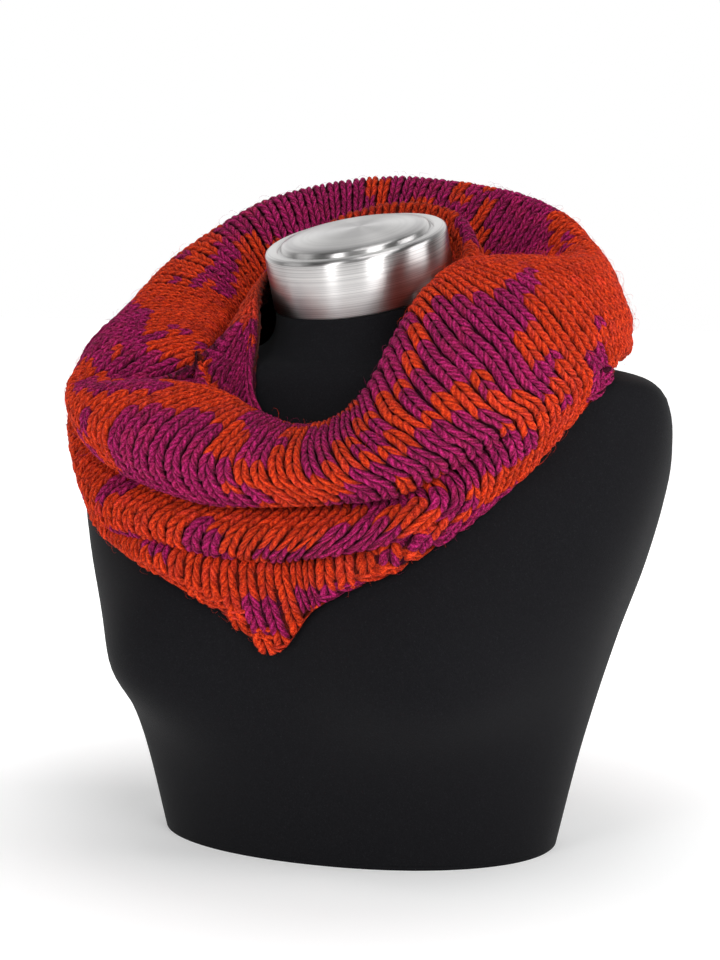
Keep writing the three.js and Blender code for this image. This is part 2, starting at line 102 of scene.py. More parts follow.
CAP_LEVEL = 382
BUST = {"turn": 37, "spread": 26, "level": 120, "above": 66, "below": 42, "depth": 39}
FORM = table("up side front back middle square", [
    (0, 130, 88, 88, 6, 2.1), (65, 145, 104, 92, 10, 2.2), (132, 164, 116, 96, 16, 2.4),
    (182, 181, 121, 94, 22, 2.5), (232, 195, 110, 90, 24, 2.3), (264, 199, 92, 88, 20, 2.1),
    (284, 197, 79, 84, 15, 2.0), (293, 191, 72, 80, 10, 2.0), (299, 180, 68, 76, 8, 2.0),
    (302, 170, 66, 73, 7, 1.9), (304, 150, 65, 71, 7, 1.8), (306, 114, 63, 69, 7, 1.8),
    (309, 89, 61, 67, 6, 1.8), (313, 74, 60, 66, 6, 1.9), (320, 64, 58, 63, 6, 2.0),
    (332, 58, 56, 58, 7, 2.0),
])


def along(rows, key, at, value, period=0):
    """A smooth cubic through a table's rows, at any values of its key column."""
    places, values = rows[key], rows[value]
    if period:
        places = np.concatenate([places[-2:] - period, places, places[:3] + period])
        values = np.concatenate([values[-2:], values, values[:3]])
    slopes = np.gradient(values)
    slopes[1:-1] = (values[2:] - values[:-2]) / (places[2:] - places[:-2])
    slopes[0] = (values[1] - values[0]) / (places[1] - places[0])
    slopes[-1] = (values[-1] - values[-2]) / (places[-1] - places[-2])
    nxt = np.clip(np.searchsorted(places, at, side="right"), 1, len(places) - 1)
    width = places[nxt] - places[nxt - 1]
    t = np.clip((at - places[nxt - 1]) / width, 0, 1)
    rise = t * t * (3 - 2 * t)
    leave = t * (1 - t) ** 2 * width * slopes[nxt - 1]
    arrive = t * t * (t - 1) * width * slopes[nxt]
    return values[nxt - 1] * (1 - rise) + values[nxt] * rise + leave + arrive


def wrapped(turn):
    return (turn + 540) % 360 - 180


def bell(x):
    return np.exp(-x * x)


def direction(turn, out, up):
    """Points from a turn round the neck, a distance out and a height, all in millimetres."""
    angle = np.radians(turn)
    return np.stack(np.broadcast_arrays(out * np.sin(angle), -out * np.cos(angle), up), -1)


# %% How far out the form lies, for every degree round it and every millimetre up
BEYOND, HALVINGS = 400.0, 30


def form_rows(turns, levels):
    """The level outlines' distance out, found by halving, with the bust on top."""
    side, front, back, middle, square = (
        along(FORM, "up", levels, name)[None, :] for name in ("side", "front", "back", "middle", "square"))
    angle = np.radians(turns)[:, None]
    inside, outside = np.zeros((len(turns), len(levels))), np.full((len(turns), len(levels)), BEYOND)
    for _ in range(HALVINGS):
        half = (inside + outside) / 2
        x, y = half * np.sin(angle), -half * np.cos(angle) - middle
        reach = np.abs(x / side) ** square + np.abs(y / np.where(y < 0, front, back)) ** square
        inside = np.where(reach < 1, half, inside)
        outside = np.where(reach < 1, outside, half)
    off = levels - BUST["level"]
    lobes = sum(bell(wrapped(turns - s * BUST["turn"]) / BUST["spread"]) for s in (1, -1))
    swell = bell(off / np.where(off > 0, BUST["above"], BUST["below"]))
    return inside + BUST["depth"] * lobes[:, None] * swell[None, :]


TOP_LEVEL = 420
form_table = form_rows(np.arange(-180, 181.0), np.arange(0, TOP_LEVEL + 1.0))


def sample(grid, row, column):
    """A value between the rows and columns of a grid."""
    row = np.clip(row, 0, grid.shape[0] - 1.001)
    column = np.clip(column, 0, grid.shape[1] - 1.001)
    r, c = row.astype(int), column.astype(int)
    fr, fc = row - r, column - c
    if grid.ndim == 3:
        fr, fc = fr[..., None], fc[..., None]
    low = grid[r, c] * (1 - fc) + grid[r, c + 1] * fc
    high = grid[r + 1, c] * (1 - fc) + grid[r + 1, c + 1] * fc
    return low * (1 - fr) + high * fr


def form_radius(turn, level):
    return sample(form_table, wrapped(turn) + 180, level)


PUSHES = 8


def clear_of_form(turn, out, up, gap):
    """Places moved straight off the form's surface until they have a gap to it."""
    for _ in range(PUSHES):
        level = up + CAP_LEVEL
        slope = (form_radius(turn, level + 1) - form_radius(turn, level - 1)) / 2
        steep = np.hypot(1, slope)
        short = np.maximum(0, gap - (out - form_radius(turn, level)) / steep)
        out, up = out + short / steep, up - short * slope / steep
    return out, up


print("form radius at the shoulder, mm:", round(float(form_radius(np.float64(90), np.float64(270))), 1))

# %% [markdown]
# ## The scarf's shape
#
# Folded cloth could be simulated, but these folds were chosen, so they are drawn: guide rings run round
# the neck from the hidden end at the neck, over the collar and the roll, through two creases to the
# hem. Each table gives a ring's distance out and height for a few turns (0 is the front, 90 the left).
# The cloth's section at any turn is a smooth curve through the rings.

# %% Guide rings
COLLAR = table("turn out up lean hang", [
    (-170, 77, 19, 7, 24), (-150, 78, 11, 7, 24), (-132, 76, -3, 7, 20), (-114, 70, -16, 3, -3),
    (-92, 66, -28, 2.5, -3.5), (-70, 65, -36, 2.4, -3.2), (-54, 68, -46, 2.4, -3.3),
    (-44, 72, -60, 2.2, -3.3), (-37, 78, -78, 2.3, -3.3), (-29, 82, -98, 3.2, -2.3),
    (-15, 82, -113, 4, 0), (0, 82, -120, 4, 1.3), (18, 82, -117, 3, 3), (30, 80, -104, 2, 3.4),
    (40, 77, -80, 2, 3.4), (50, 73, -58, 2.4, 3.2), (64, 69, -38, 3, 2.6), (80, 69, -26, 3.6, 3),
    (95, 70, -17, 5, 10), (110, 72, -9, 7, 22), (125, 74, 2, 7, 24), (140, 76, 12, 7, 24),
    (158, 77, 19, 7, 24), (175, 77, 21, 7, 24),
])
VALLEY = table("turn out up", [
    (-165, 97, -4), (-148, 97, -10), (-130, 98, -24), (-114, 96, -48), (-98, 90, -62), (-84, 90, -67),
    (-70, 91, -71), (-56, 95, -83), (-42, 95, -97), (-25, 92, -108), (-12, 90, -115), (0, 88, -118),
    (14, 88, -115), (22, 87, -106), (30, 87, -93), (38, 85, -72), (50, 82, -46), (64, 79, -29),
    (78, 79, -22), (92, 84, -22), (104, 91, -28), (116, 97, -38), (130, 102, -44), (146, 101, -32),
    (162, 98, -14), (178, 97, -4),
])
RIM = table("turn out up", [
    (-165, 115, 10), (-148, 115, 2), (-134, 111, -10), (-120, 103, -31), (-108, 96, -44), (-95, 93, -53),
    (-82, 92, -58), (-70, 93, -63), (-56, 97, -75), (-42, 98, -88), (-25, 96, -98), (-12, 95, -106),
    (0, 95, -111), (12, 95, -109), (22, 95, -99), (30, 95, -82), (38, 95, -57), (50, 93, -31),
    (64, 89, -17), (78, 89, -13), (95, 101, -15), (112, 112, -26), (130, 122, -30), (148, 121, -12),
    (165, 116, 8),
])
CREST = table("turn out up", [
    (-165, 141, 36), (-150, 143, 31), (-137, 146, 22), (-125, 150, 6), (-110, 154, -19), (-95, 156, -43),
    (-80, 156, -62), (-65, 152, -77), (-50, 143, -89), (-35, 131, -99), (-20, 122, -108), (0, 118, -117),
    (20, 120, -112), (35, 124, -88), (50, 129, -56), (65, 136, -33), (80, 142, -22), (95, 147, -17),
    (112, 151, -11), (125, 151, -2), (138, 149, 12), (152, 147, 25), (167, 144, 33), (180, 142, 37),
])
BELLY = table("turn out up", [
    (-160, 164, 14), (-140, 169, 2), (-120, 175, -28), (-100, 181, -62), (-84, 182, -82), (-68, 180, -99),
    (-50, 170, -112), (-35, 156, -122), (-20, 143, -131), (0, 137, -136), (20, 140, -132),
    (38, 148, -114), (54, 157, -92), (68, 165, -70), (84, 171, -49), (100, 173, -45), (116, 175, -46),
    (130, 173, -28), (145, 170, -4), (162, 166, 10), (180, 163, 16),
])
UPPER_CREASE = table("turn out up tuck", [
    (-150, 156, -44, 6), (-120, 174, -70, 3), (-105, 189, -84, 0), (-92, 192, -94, 0),
    (-80, 181, -108, 9), (-68, 168, -127, 16), (-53, 156, -141, 18), (-42, 143, -149, 20),
    (-30, 132, -155, 20), (-18, 124, -159, 20), (0, 118, -158, 20), (18, 123, -154, 20),
    (33, 132, -149, 18), (44, 140, -136, 9), (54, 152, -118, 2), (63, 163, -98, 0), (76, 171, -73, 0),
    (84, 173, -63, 0), (92, 174, -58, 0), (112, 175, -61, 0), (132, 168, -56, 1), (155, 156, -42, 4),
    (180, 152, -38, 6),
])
LOWER_CREASE = table("turn out up tuck", [
    (-150, 140, -78, 5), (-120, 176, -88, 1), (-105, 200, -103, 0), (-92, 201, -115, 0),
    (-80, 188, -130, 4), (-68, 172, -158, 10), (-56, 161, -176, 12), (-46, 151, -181, 13),
    (-38, 143, -182, 14), (-29, 135, -186, 14), (-19, 127, -189, 14), (0, 119, -190, 14),
    (18, 125, -184, 13), (28, 130, -179, 11), (37, 138, -170, 6), (47, 143, -154, 1), (57, 153, -133, 0),
    (66, 162, -110, 0), (76, 171, -84, 0), (84, 174, -73, 0), (92, 175, -68, 0), (112, 172, -72, 0),
    (132, 159, -78, 1), (155, 140, -74, 4), (180, 132, -70, 5),
])
HEM = table("turn up", [
    (-160, -104), (-138, -103), (-123, -108), (-111, -115), (-100, -124), (-90, -136), (-81, -150),
    (-72, -163), (-62, -179), (-53, -188), (-43, -197), (-33, -204), (-25, -213), (-19, -221),
    (-14, -229), (-8, -243), (-4, -246), (1, -241), (8, -221), (15, -211), (24, -201), (33, -193),
    (39, -184), (46, -176), (52, -166), (59, -152), (65, -140), (71, -124), (75, -112), (79, -98),
    (84, -86), (91, -79), (106, -83), (122, -91), (142, -98), (170, -103),
])
TROUGH = table("ring turn depth", [(3, -40, 0), (4, -46, 10), (5, -61, 11), (5.6, -69, 5), (6, -74, 0)])
print("guide rings for", len(CREST["turn"]), "turns of the crest")

# %% The cloth's section at many turns, as a smooth curve through its guide rings
CLOTH, EDGE, REST = 4.6, 2.0, 1.1  # the wall, the wall at the hem, and the gap to the form
LAST_RING, PER_RING = 15, 24
CREASE_LIP = 2.8
HALFWAY = 0.45


def guides(turn):
    def at(rows, value):
        return along(rows, "turn", wrapped(turn), value, 360)

    def crease(rows, above, below):
        """The lip over a crease, its tucked-in bottom, and the start of the fold below it."""
        out, up, tuck = (at(rows, name) for name in ("out", "up", "tuck"))
        run, drop = below[0] - above[0], below[1] - above[1]
        run, drop = run / np.hypot(run, drop), drop / np.hypot(run, drop)
        near, far = -CREASE_LIP - 0.04 * tuck, CREASE_LIP + 0.09 * tuck
        lip = (out + run * near, up + drop * near)
        return tuck, [lip, (out - tuck, up + 0.1 * tuck), (out + run * far - 0.15 * tuck, up + drop * far)]

    def between(a, b, bulge):
        return a[0] + (b[0] - a[0]) * HALFWAY + bulge, a[1] + (b[1] - a[1]) * HALFWAY

    rings = {name: (at(rows, "out"), at(rows, "up")) for name, rows in
             {"collar": COLLAR, "valley": VALLEY, "rim": RIM, "crest": CREST, "belly": BELLY,
              "upper": UPPER_CREASE, "lower": LOWER_CREASE}.items()}
    out, up, lean, hang = (at(COLLAR, name) for name in ("out", "up", "lean", "hang"))
    foot = clear_of_form(turn, out - lean, up - hang, REST)
    inner = clear_of_form(turn, out - 0.7 * lean, up - 0.4 * hang, REST)
    collar = clear_of_form(turn, out, up, REST)
    hem_up = at(HEM, "up")
    hem = clear_of_form(turn, form_radius(turn, hem_up + CAP_LEVEL), hem_up, EDGE + REST)
    upper_tuck, upper = crease(UPPER_CREASE, rings["belly"], rings["lower"])
    lower_tuck, lower = crease(LOWER_CREASE, rings["upper"], hem)
    middle = between(upper[2], lower[0], 0.3 + 0.45 * upper_tuck)
    lowest = between(lower[2], hem, 0.3 + 0.2 * lower_tuck)
    cloth = [rings["valley"], rings["rim"], rings["crest"], rings["belly"], *upper, middle, *lower, lowest]
    cloth = [clear_of_form(turn, *place, CLOTH + REST) for place in cloth]
    return np.stack([np.stack(place, -1) for place in [foot, inner, collar, *cloth, hem]], 1)


def smooth_curve(points, steps):
    """Points along a centripetal curve through the guides of each row, some steps to a guide."""
    first, last = 2 * points[:, :1] - points[:, 1:2], 2 * points[:, -1:] - points[:, -2:-1]
    points = np.concatenate([first, points, last], 1)
    spans = np.sqrt(np.linalg.norm(np.diff(points, axis=1), axis=-1))[..., None]
    a, b, c, d = points[:, :-3], points[:, 1:-2], points[:, 2:-1], points[:, 3:]
    s, t, u = spans[:, :-2], spans[:, 1:-1], spans[:, 2:]
    leave = ((b - a) / s - (c - a) / (s + t) + (c - b) / t) * t
    arrive = ((c - b) / t - (d - b) / (t + u) + (d - c) / u) * t
    pieces = []
    for w in np.arange(steps) / steps:
        pieces.append(b + leave * w + (3 * (c - b) - 2 * leave - arrive) * w**2
                      + (2 * (b - c) + leave + arrive) * w**3)
    curve = np.stack(pieces, 2).reshape(len(points), -1, 2)
    return np.concatenate([curve, points[:, -2:-1]], 1)


def normals(points):
    """Unit normals of a surface that closes on itself round its rows."""
    around = np.roll(points, -1, 0) - np.roll(points, 1, 0)
    normal = np.cross(np.gradient(points, axis=1), around)
    return normal / np.maximum(np.linalg.norm(normal, axis=-1, keepdims=True), 1e-9)


TURN_STEP = 0.5
TROUGH_WIDE = 8
TURNS = np.arange(-180, 180, TURN_STEP)
RINGS = np.linspace(0, LAST_RING, LAST_RING * PER_RING + 1)
section = smooth_curve(guides(TURNS), PER_RING)
surface = direction(TURNS[:, None], section[..., 0], section[..., 1] + CAP_LEVEL)
ring_row = np.clip(RINGS, 3, 6)
trough = along(TROUGH, "ring", ring_row, "depth") * ((RINGS > 3) & (RINGS < 6))
trough = trough * bell(wrapped(TURNS[:, None] - along(TROUGH, "ring", ring_row, "turn")) / TROUGH_WIDE)
surface = surface - normals(surface) * trough[..., None]
print("surface grid:", surface.shape[:2])

# %% [markdown]
# ## Small folds and the cloth's own measure
#
# Heavy knit is never quite smooth between its big folds. A short table of soft troughs and ridges,
# uneven in length and depth, ruffles the surface. Then every column of the grid is measured in
# millimetres of cloth, because stitches keep their size whatever the fold does.

# %% Ruffle the surface and keep it off the form
RUFFLES = table("turn ring long wide depth slant", [
    (38, 6.2, 1.6, 7, -1.6, 7), (52, 5.8, 1.5, 8, 1.5, 9), (66, 6.4, 1.7, 8, -1.8, 6),
    (14, 6.3, 1.2, 9, 1.2, -4), (-14, 6.0, 1.3, 8, -1.2, 5), (-34, 6.6, 1.1, 7, 1.3, -5),
    (-90, 6.0, 1.5, 9, -1.6, 6), (-112, 5.6, 1.6, 8, 1.5, -7), (-138, 6.2, 1.4, 9, -1.7, 6),
    (-165, 5.6, 1.3, 8, 1.4, 5), (168, 6.6, 1.5, 9, -1.7, -6), (146, 5.8, 1.3, 8, 1.5, 7),
    (122, 6.4, 1.5, 8, -1.4, -5), (98, 6.0, 1.4, 8, 1.5, 6), (84, 5.2, 1.0, 6, -1.2, 5),
    (-6, 10.2, 1.0, 7, 1.1, 5), (22, 9.9, 1.0, 7, -1.2, 4), (44, 10.3, 1.1, 8, 1.2, 6),
    (-28, 10.1, 0.9, 7, -1.0, -4), (-52, 10.2, 1.0, 8, 1.2, -5), (-150, 10, 1.2, 9, -1.3, 5),
    (160, 10, 1.2, 9, 1.3, -5), (118, 10, 1.1, 8, -1.1, 5), (30, 13.6, 0.9, 8, 1.0, 5),
    (-24, 13.7, 0.9, 8, -0.9, -4), (-60, 13.5, 1.0, 8, 1.0, 5), (60, 13.6, 1.0, 8, -1.0, 4),
])
RIDGE_LOSS = 0.3  # ridges stand out less than troughs sink in
wave = np.zeros(surface.shape[:2])
for turn, ring, long, wide, depth, slant in zip(*RUFFLES.values()):
    run = (RINGS - ring) / long
    wave += depth * bell(wrapped(TURNS[:, None] - turn - slant * run) / wide) * bell(run)
wave -= np.maximum(wave, 0) * RIDGE_LOSS
surface = surface + normals(surface) * wave[..., None]
thick = CLOTH - (CLOTH - EDGE) * np.clip(RINGS - 14, 0, 1)
under = surface - normals(surface) * thick[:, None]
under_turn = np.degrees(np.arctan2(under[..., 0], -under[..., 1]))
under_out, under_up = np.hypot(under[..., 0], under[..., 1]), under[..., 2] - CAP_LEVEL
kept = clear_of_form(under_turn, under_out, under_up, REST)
surface = surface + direction(under_turn, kept[0] - under_out, kept[1] - under_up)

# %% Measure the cloth
run = np.linalg.norm(np.diff(surface, axis=1), axis=-1)
length = np.concatenate([np.zeros((len(TURNS), 1)), np.cumsum(run, 1)], 1)
print("cloth down the section, mm:", [round(float(v)) for v in (length[:, -1].min(), length[:, -1].max())])

# %% [markdown]
# ## How the knitting leans and swells
#
# The folds pull the columns of stitches aside, and where a fold is full the knitting stands further off
# it. The first table gives the lean in degrees: a row for each length of cloth below the roll's belly,
# a column for each turn round the neck. The second gives the swell in millimetres for a few turns, at
# the rim, the belly, the hem and the collar, and each swell fades out over its own reach.

# %% Lean and swell
LEAN = table("down -180 -140 -110 -85 -60 -35 -15 5 15 35 56 75 95 130 180", [
    (-130, 2, -3, 2, 0, 0, 3, 3, -1, -4, -9, -8, -6, 0, 4, 2),
    (-85, 2, -3, 2, 0, 0, 3, 3, -1, -4, -9, -8, -6, 0, 4, 2),
    (-50, 1, -3, 2, 0, 0, 2, 3, -1, -4, -9, -6, -4, 0, 3, 1),
    (-25, 0, -2, 1, 0, 0, 0, 2, -2, -4, -7, -3, -2, 0, 2, 0),
    (0, 0, 0, 0, 0, 0, 0, 0, 0, 0, 0, 0, 0, 0, 0, 0),
    (20, -2, 2, 0, 0, 0, -2, 0, 7, 8, 7, 6, 3, 0, -2, -2),
    (60, -4, 4, 3, -2, -2, -3, 4, 10, 12, 12, 10, 5, 1, -4, -4),
    (80, -3, 5, 4, -3, -2, -4, 0, 4, 5, 8, 10, 5, 2, -5, -3),
    (100, 0, 4, 3, -2, -3, -6, -4, -4, -4, 4, 10, 5, 2, -4, 0),
    (125, 2, 2, 1, 0, -3, -6, -4, -2, -4, 2, 10, 5, 1, -2, 2),
    (175, 3, 1, 0, 0, -2, -5, 0, 4, 0, 2, 10, 5, 0, 0, 3),
])
SWELL = table("turn rim belly hem collar", [
    (-180, -1, 0, 0, 0), (-150, 2, 2, 0, 0), (-120, 5, 2, 0, 0), (-90, 5, 2, 1, 0), (-60, 1, 1, 3, -2),
    (-30, 0, 2, 4, -2), (-8, 0, 1, 3, 0), (5, 0, 0, 1, 0), (30, 2, 1, 2, 0), (50, 3, 2, 2, 0),
    (75, 1, 0, -1, 0), (92, 0, -3, -3, 0), (110, 1, -4, -2, 0), (130, 2, -2, 0, 0), (155, -1, 0, 0, 0),
    (180, -1, 0, 0, 0),
])
SWELL_REACH = (("rim", -60, 45), ("belly", 5, 45), ("hem", 150, 50))  # middle and reach down the cloth
lean_turns = list(LEAN)[1:]
lean_at = np.arange(LEAN["down"][0], LEAN["down"][-1] + 1)
lean_rows = np.stack([along(LEAN, "down", lean_at, name) for name in lean_turns], 1)
lean = np.stack([np.interp(np.arange(-180, 182), np.array(lean_turns, float), row) for row in lean_rows], 1)
print("lean in degrees, from", round(lean.min(), 1), "to", round(lean.max(), 1))

# %% [markdown]
# ## A map of the cloth
#
# Stitches are placed on the cloth as if it lay flat: so many millimetres up or down from one guide
# ring, at a turn round the neck. One class keeps such a map, once for the body of the scarf and once
# for its collar, and tells the point in space, the way outwards and the guide ring of any place on it.

# %% The map
SPARE_ABOVE, SPARE_BELOW = 18, 6


class Cloth:
    """The surface measured in millimetres of cloth, up (-) and down (+) from one guide ring."""

    def __init__(self, ring, first, last, is_body, over):
        self.is_body, self.over = is_body, over  # over: how far stitches may pass its two ends
        self.down = length - length[:, ring * PER_RING][:, None]
        self.ends = [self.down[:, int(r * PER_RING)] for r in (first, last)]
        self.least = math.floor(self.ends[0].min()) - SPARE_ABOVE
        steps = np.arange(self.least, math.ceil(self.ends[1].max()) + SPARE_BELOW)
        normal = normals(surface)
        ring_of = np.broadcast_to(RINGS[:, None], (*normal.shape[:2], 1))
        data = np.concatenate([surface, normal, ring_of], 2)
        grid = np.stack([np.stack([np.interp(steps, down, row[:, k]) for k in range(7)], -1)
                         for down, row in zip(self.down, data)])
        self.grid = np.concatenate([grid, grid[:1]], 0)
        loop = self.at(np.append(TURNS, 180), np.zeros(len(TURNS) + 1))[0]
        self.round = np.append(0, np.cumsum(np.linalg.norm(np.diff(loop, axis=0), axis=1)))

    def at(self, turn, down):
        """Point, normal and ring at turns and lengths of cloth."""
        found = sample(self.grid, (turn + 180) % 360 / TURN_STEP, down - self.least)
        return found[..., :3], found[..., 3:6], found[..., 6]

    def turn_of(self, wale, wales, down):
        """The turn of a wale: evenly spaced round the ring, and leaning as the folds pull it."""
        turn = np.interp(wale / wales % 1 * self.round[-1], self.round, np.append(TURNS, 180))
        return turn + sample(lean, turn + 180, down - LEAN["down"][0]) * self.is_body

    def swell(self, turn, down):
        """How far the knitting stands off the solid's face, beyond its own thickness."""
        most = {name: np.interp(wrapped(turn), SWELL["turn"], SWELL[name]) for name in SWELL}
        if not self.is_body:
            return most["collar"]
        return sum(most[name] * bell((down - middle) / reach) for name, middle, reach in SWELL_REACH)

    def end(self, turn, which):
        """How far down the cloth its first (0) or last (1) edge lies."""
        edge = self.ends[which]
        return np.interp(wrapped(turn), np.append(TURNS, 180), np.append(edge, edge[0]))


body_cloth = Cloth(6, 3, 15, is_body=True, over=(16, 0.5))
collar_cloth = Cloth(2, 0, 3.2, is_body=False, over=(0.5, 4))
print("round the belly and the collar, mm:", [round(cloth.round[-1]) for cloth in (body_cloth, collar_cloth)])

# %% [markdown]
# ## Shader maths as expressions
#
# A finish is easier to read as a formula than as a web of nodes. One small class wraps a socket, so that
# adding or multiplying values adds Math nodes, and one method makes any other node.

# %% Sockets that can be added and multiplied
class Value:
    def __init__(self, nodes, socket):
        self.nodes, self.socket = nodes, socket

    def twin(self, name):
        """Another output of the same node."""
        return Value(self.nodes, self.socket.node.outputs[name])

    def math(self, operation, *values):
        return self.nodes.node("ShaderNodeMath", {"operation": operation}, dict(enumerate(values)))

    def __add__(self, other):
        return self.math("ADD", self, other)

    def __mul__(self, other):
        return self.math("MULTIPLY", self, other)

    __radd__, __rmul__ = __add__, __mul__

    def sine(self):
        return self.math("SINE", self)


# %% Node trees and finishes
class Nodes:
    """A node tree with one shader, and a method that makes every other node."""

    def __init__(self, owner, shader):
        owner.use_nodes = True
        self.tree = owner.node_tree
        self.shader = self.tree.nodes[shader]

    def node(self, kind, settings=(), values=(), output=0):
        made = self.tree.nodes.new(kind)
        for name, value in dict(settings).items():
            if name == "stops":
                for stop in value[2:]:
                    made.color_ramp.elements.new(stop[0])
                for element, (place, colour) in zip(made.color_ramp.elements, value):
                    element.position, element.color = place, colour
            else:
                setattr(made, name, value)
        for name, value in dict(values).items():
            if isinstance(value, Value):
                self.tree.links.new(value.socket, made.inputs[name])
            else:
                made.inputs[name].default_value = value
        return Value(self, made.outputs[output])

    def feed(self, socket, value):
        self.tree.links.new(value.socket, self.shader.inputs[socket])


class Finish(Nodes):
    """A material with one Principled shader."""

    def __init__(self, name, **constants):
        self.material = bpy.data.materials.new(name)
        super().__init__(self.material, "Principled BSDF")
        for socket, value in constants.items():
            self.shader.inputs[socket.replace("_", " ")].default_value = value

    def noise(self, scale, detail, where=None):
        where = where or self.node("ShaderNodeTexCoord", output="Object")
        return self.node("ShaderNodeTexNoise", {}, {"Vector": where, "Scale": scale, "Detail": detail})

    def ramp(self, value, *stops):
        return self.node("ShaderNodeValToRGB", {"stops": stops}, {"Fac": value})

    def mix(self, share, a, b, **settings):
        return self.node("ShaderNodeMix", {"data_type": "RGBA", **settings}, {0: share, 6: a, 7: b}, output=2)

    def bump(self, height, strength, distance):
        self.feed("Normal", self.node("ShaderNodeBump", {}, {"Height": height, "Strength": strength,
                                                             "Distance": distance}))


# %% [markdown]
# ## The yarn
#
# The yarn is loosely spun and fuzzy, and changes between orange-red and purple along its length, so a
# whole stitch has one colour and patches end in steps. Each stitch carries its colour as an attribute,
# with its brightness, which varies a little at random and is lowered deep in the knit as painted shade.
# The shader adds what is finer than a stitch: plies that twist round each other, pale and dark fibres
# along them, and a soft bloom from the fuzz.

# %% Yarn finish
WIND, PLIES = 0.9, 3  # turns of twist along a leg, and plies round it
FIBRES_ROUND, FIBRES_ALONG, FIBRES_APART = 30, 6, 90


def yarn_finish(name, dimmed=1.0):
    finish = Finish(name, Roughness=0.85, Sheen_Weight=0.06, Sheen_Roughness=0.4, Specular_IOR_Level=0.12,
                    Sheen_Tint=(1.0, 0.62, 0.55, 1))
    tint = finish.node("ShaderNodeAttribute", {"attribute_name": "tint"}, output="Color")
    purple_share = finish.node("ShaderNodeSeparateColor", {}, {"Color": tint})
    bright = purple_share.twin("Green")
    strand = finish.node("ShaderNodeUVMap", {"uv_map": "strand"}, output="UV")
    around = finish.node("ShaderNodeSeparateXYZ", {}, {"Vector": strand})
    along_leg = around.twin("Y")
    wound = around + along_leg * WIND
    twist = (wound * (PLIES * 2 * math.pi)).sine() * 0.5 + 0.5
    fibre = finish.noise(1, 4, finish.node("ShaderNodeCombineXYZ", {}, {
        "X": wound * FIBRES_ROUND, "Y": along_leg * FIBRES_ALONG, "Z": bright * FIBRES_APART}))
    mottle = finish.noise(900, 4)
    shade = fibre * 0.55 + mottle * 0.37 + twist * 0.08
    orange = finish.ramp(shade, (0.39, (0.09, 0.004, 0.001, 1)), (0.5, (0.66, 0.028, 0.004, 1)),
                         (0.61, (1.0, 0.10, 0.02, 1)))
    purple = finish.ramp(shade, (0.39, (0.03, 0.001, 0.010, 1)), (0.5, (0.26, 0.003, 0.062, 1)),
                         (0.61, (0.72, 0.03, 0.24, 1)))
    # painted shade: bright carries the stitches' depth shade, and dimmed below 1 darkens the stitch backs
    level = bright * dimmed
    grey = finish.node("ShaderNodeCombineColor", {}, {"Red": level, "Green": level, "Blue": level})
    finish.feed("Base Color", finish.mix(1.0, finish.mix(purple_share, orange, purple), grey,
                                         blend_type="MULTIPLY"))
    finish.bump(twist * 0.5 + fibre * 0.8 + mottle * 0.6, 0.8, 0.0007)
    return finish.material


yarn = yarn_finish("knitting yarn")
# painted shade: the stitch backs' yarn colour is dimmed to 0.12 for the shade in the gaps between the legs
yarn_backs_in_painted_shade = yarn_finish("backs of the stitches, in painted shade", 0.12)
print("finishes:", [m.name for m in bpy.data.materials])
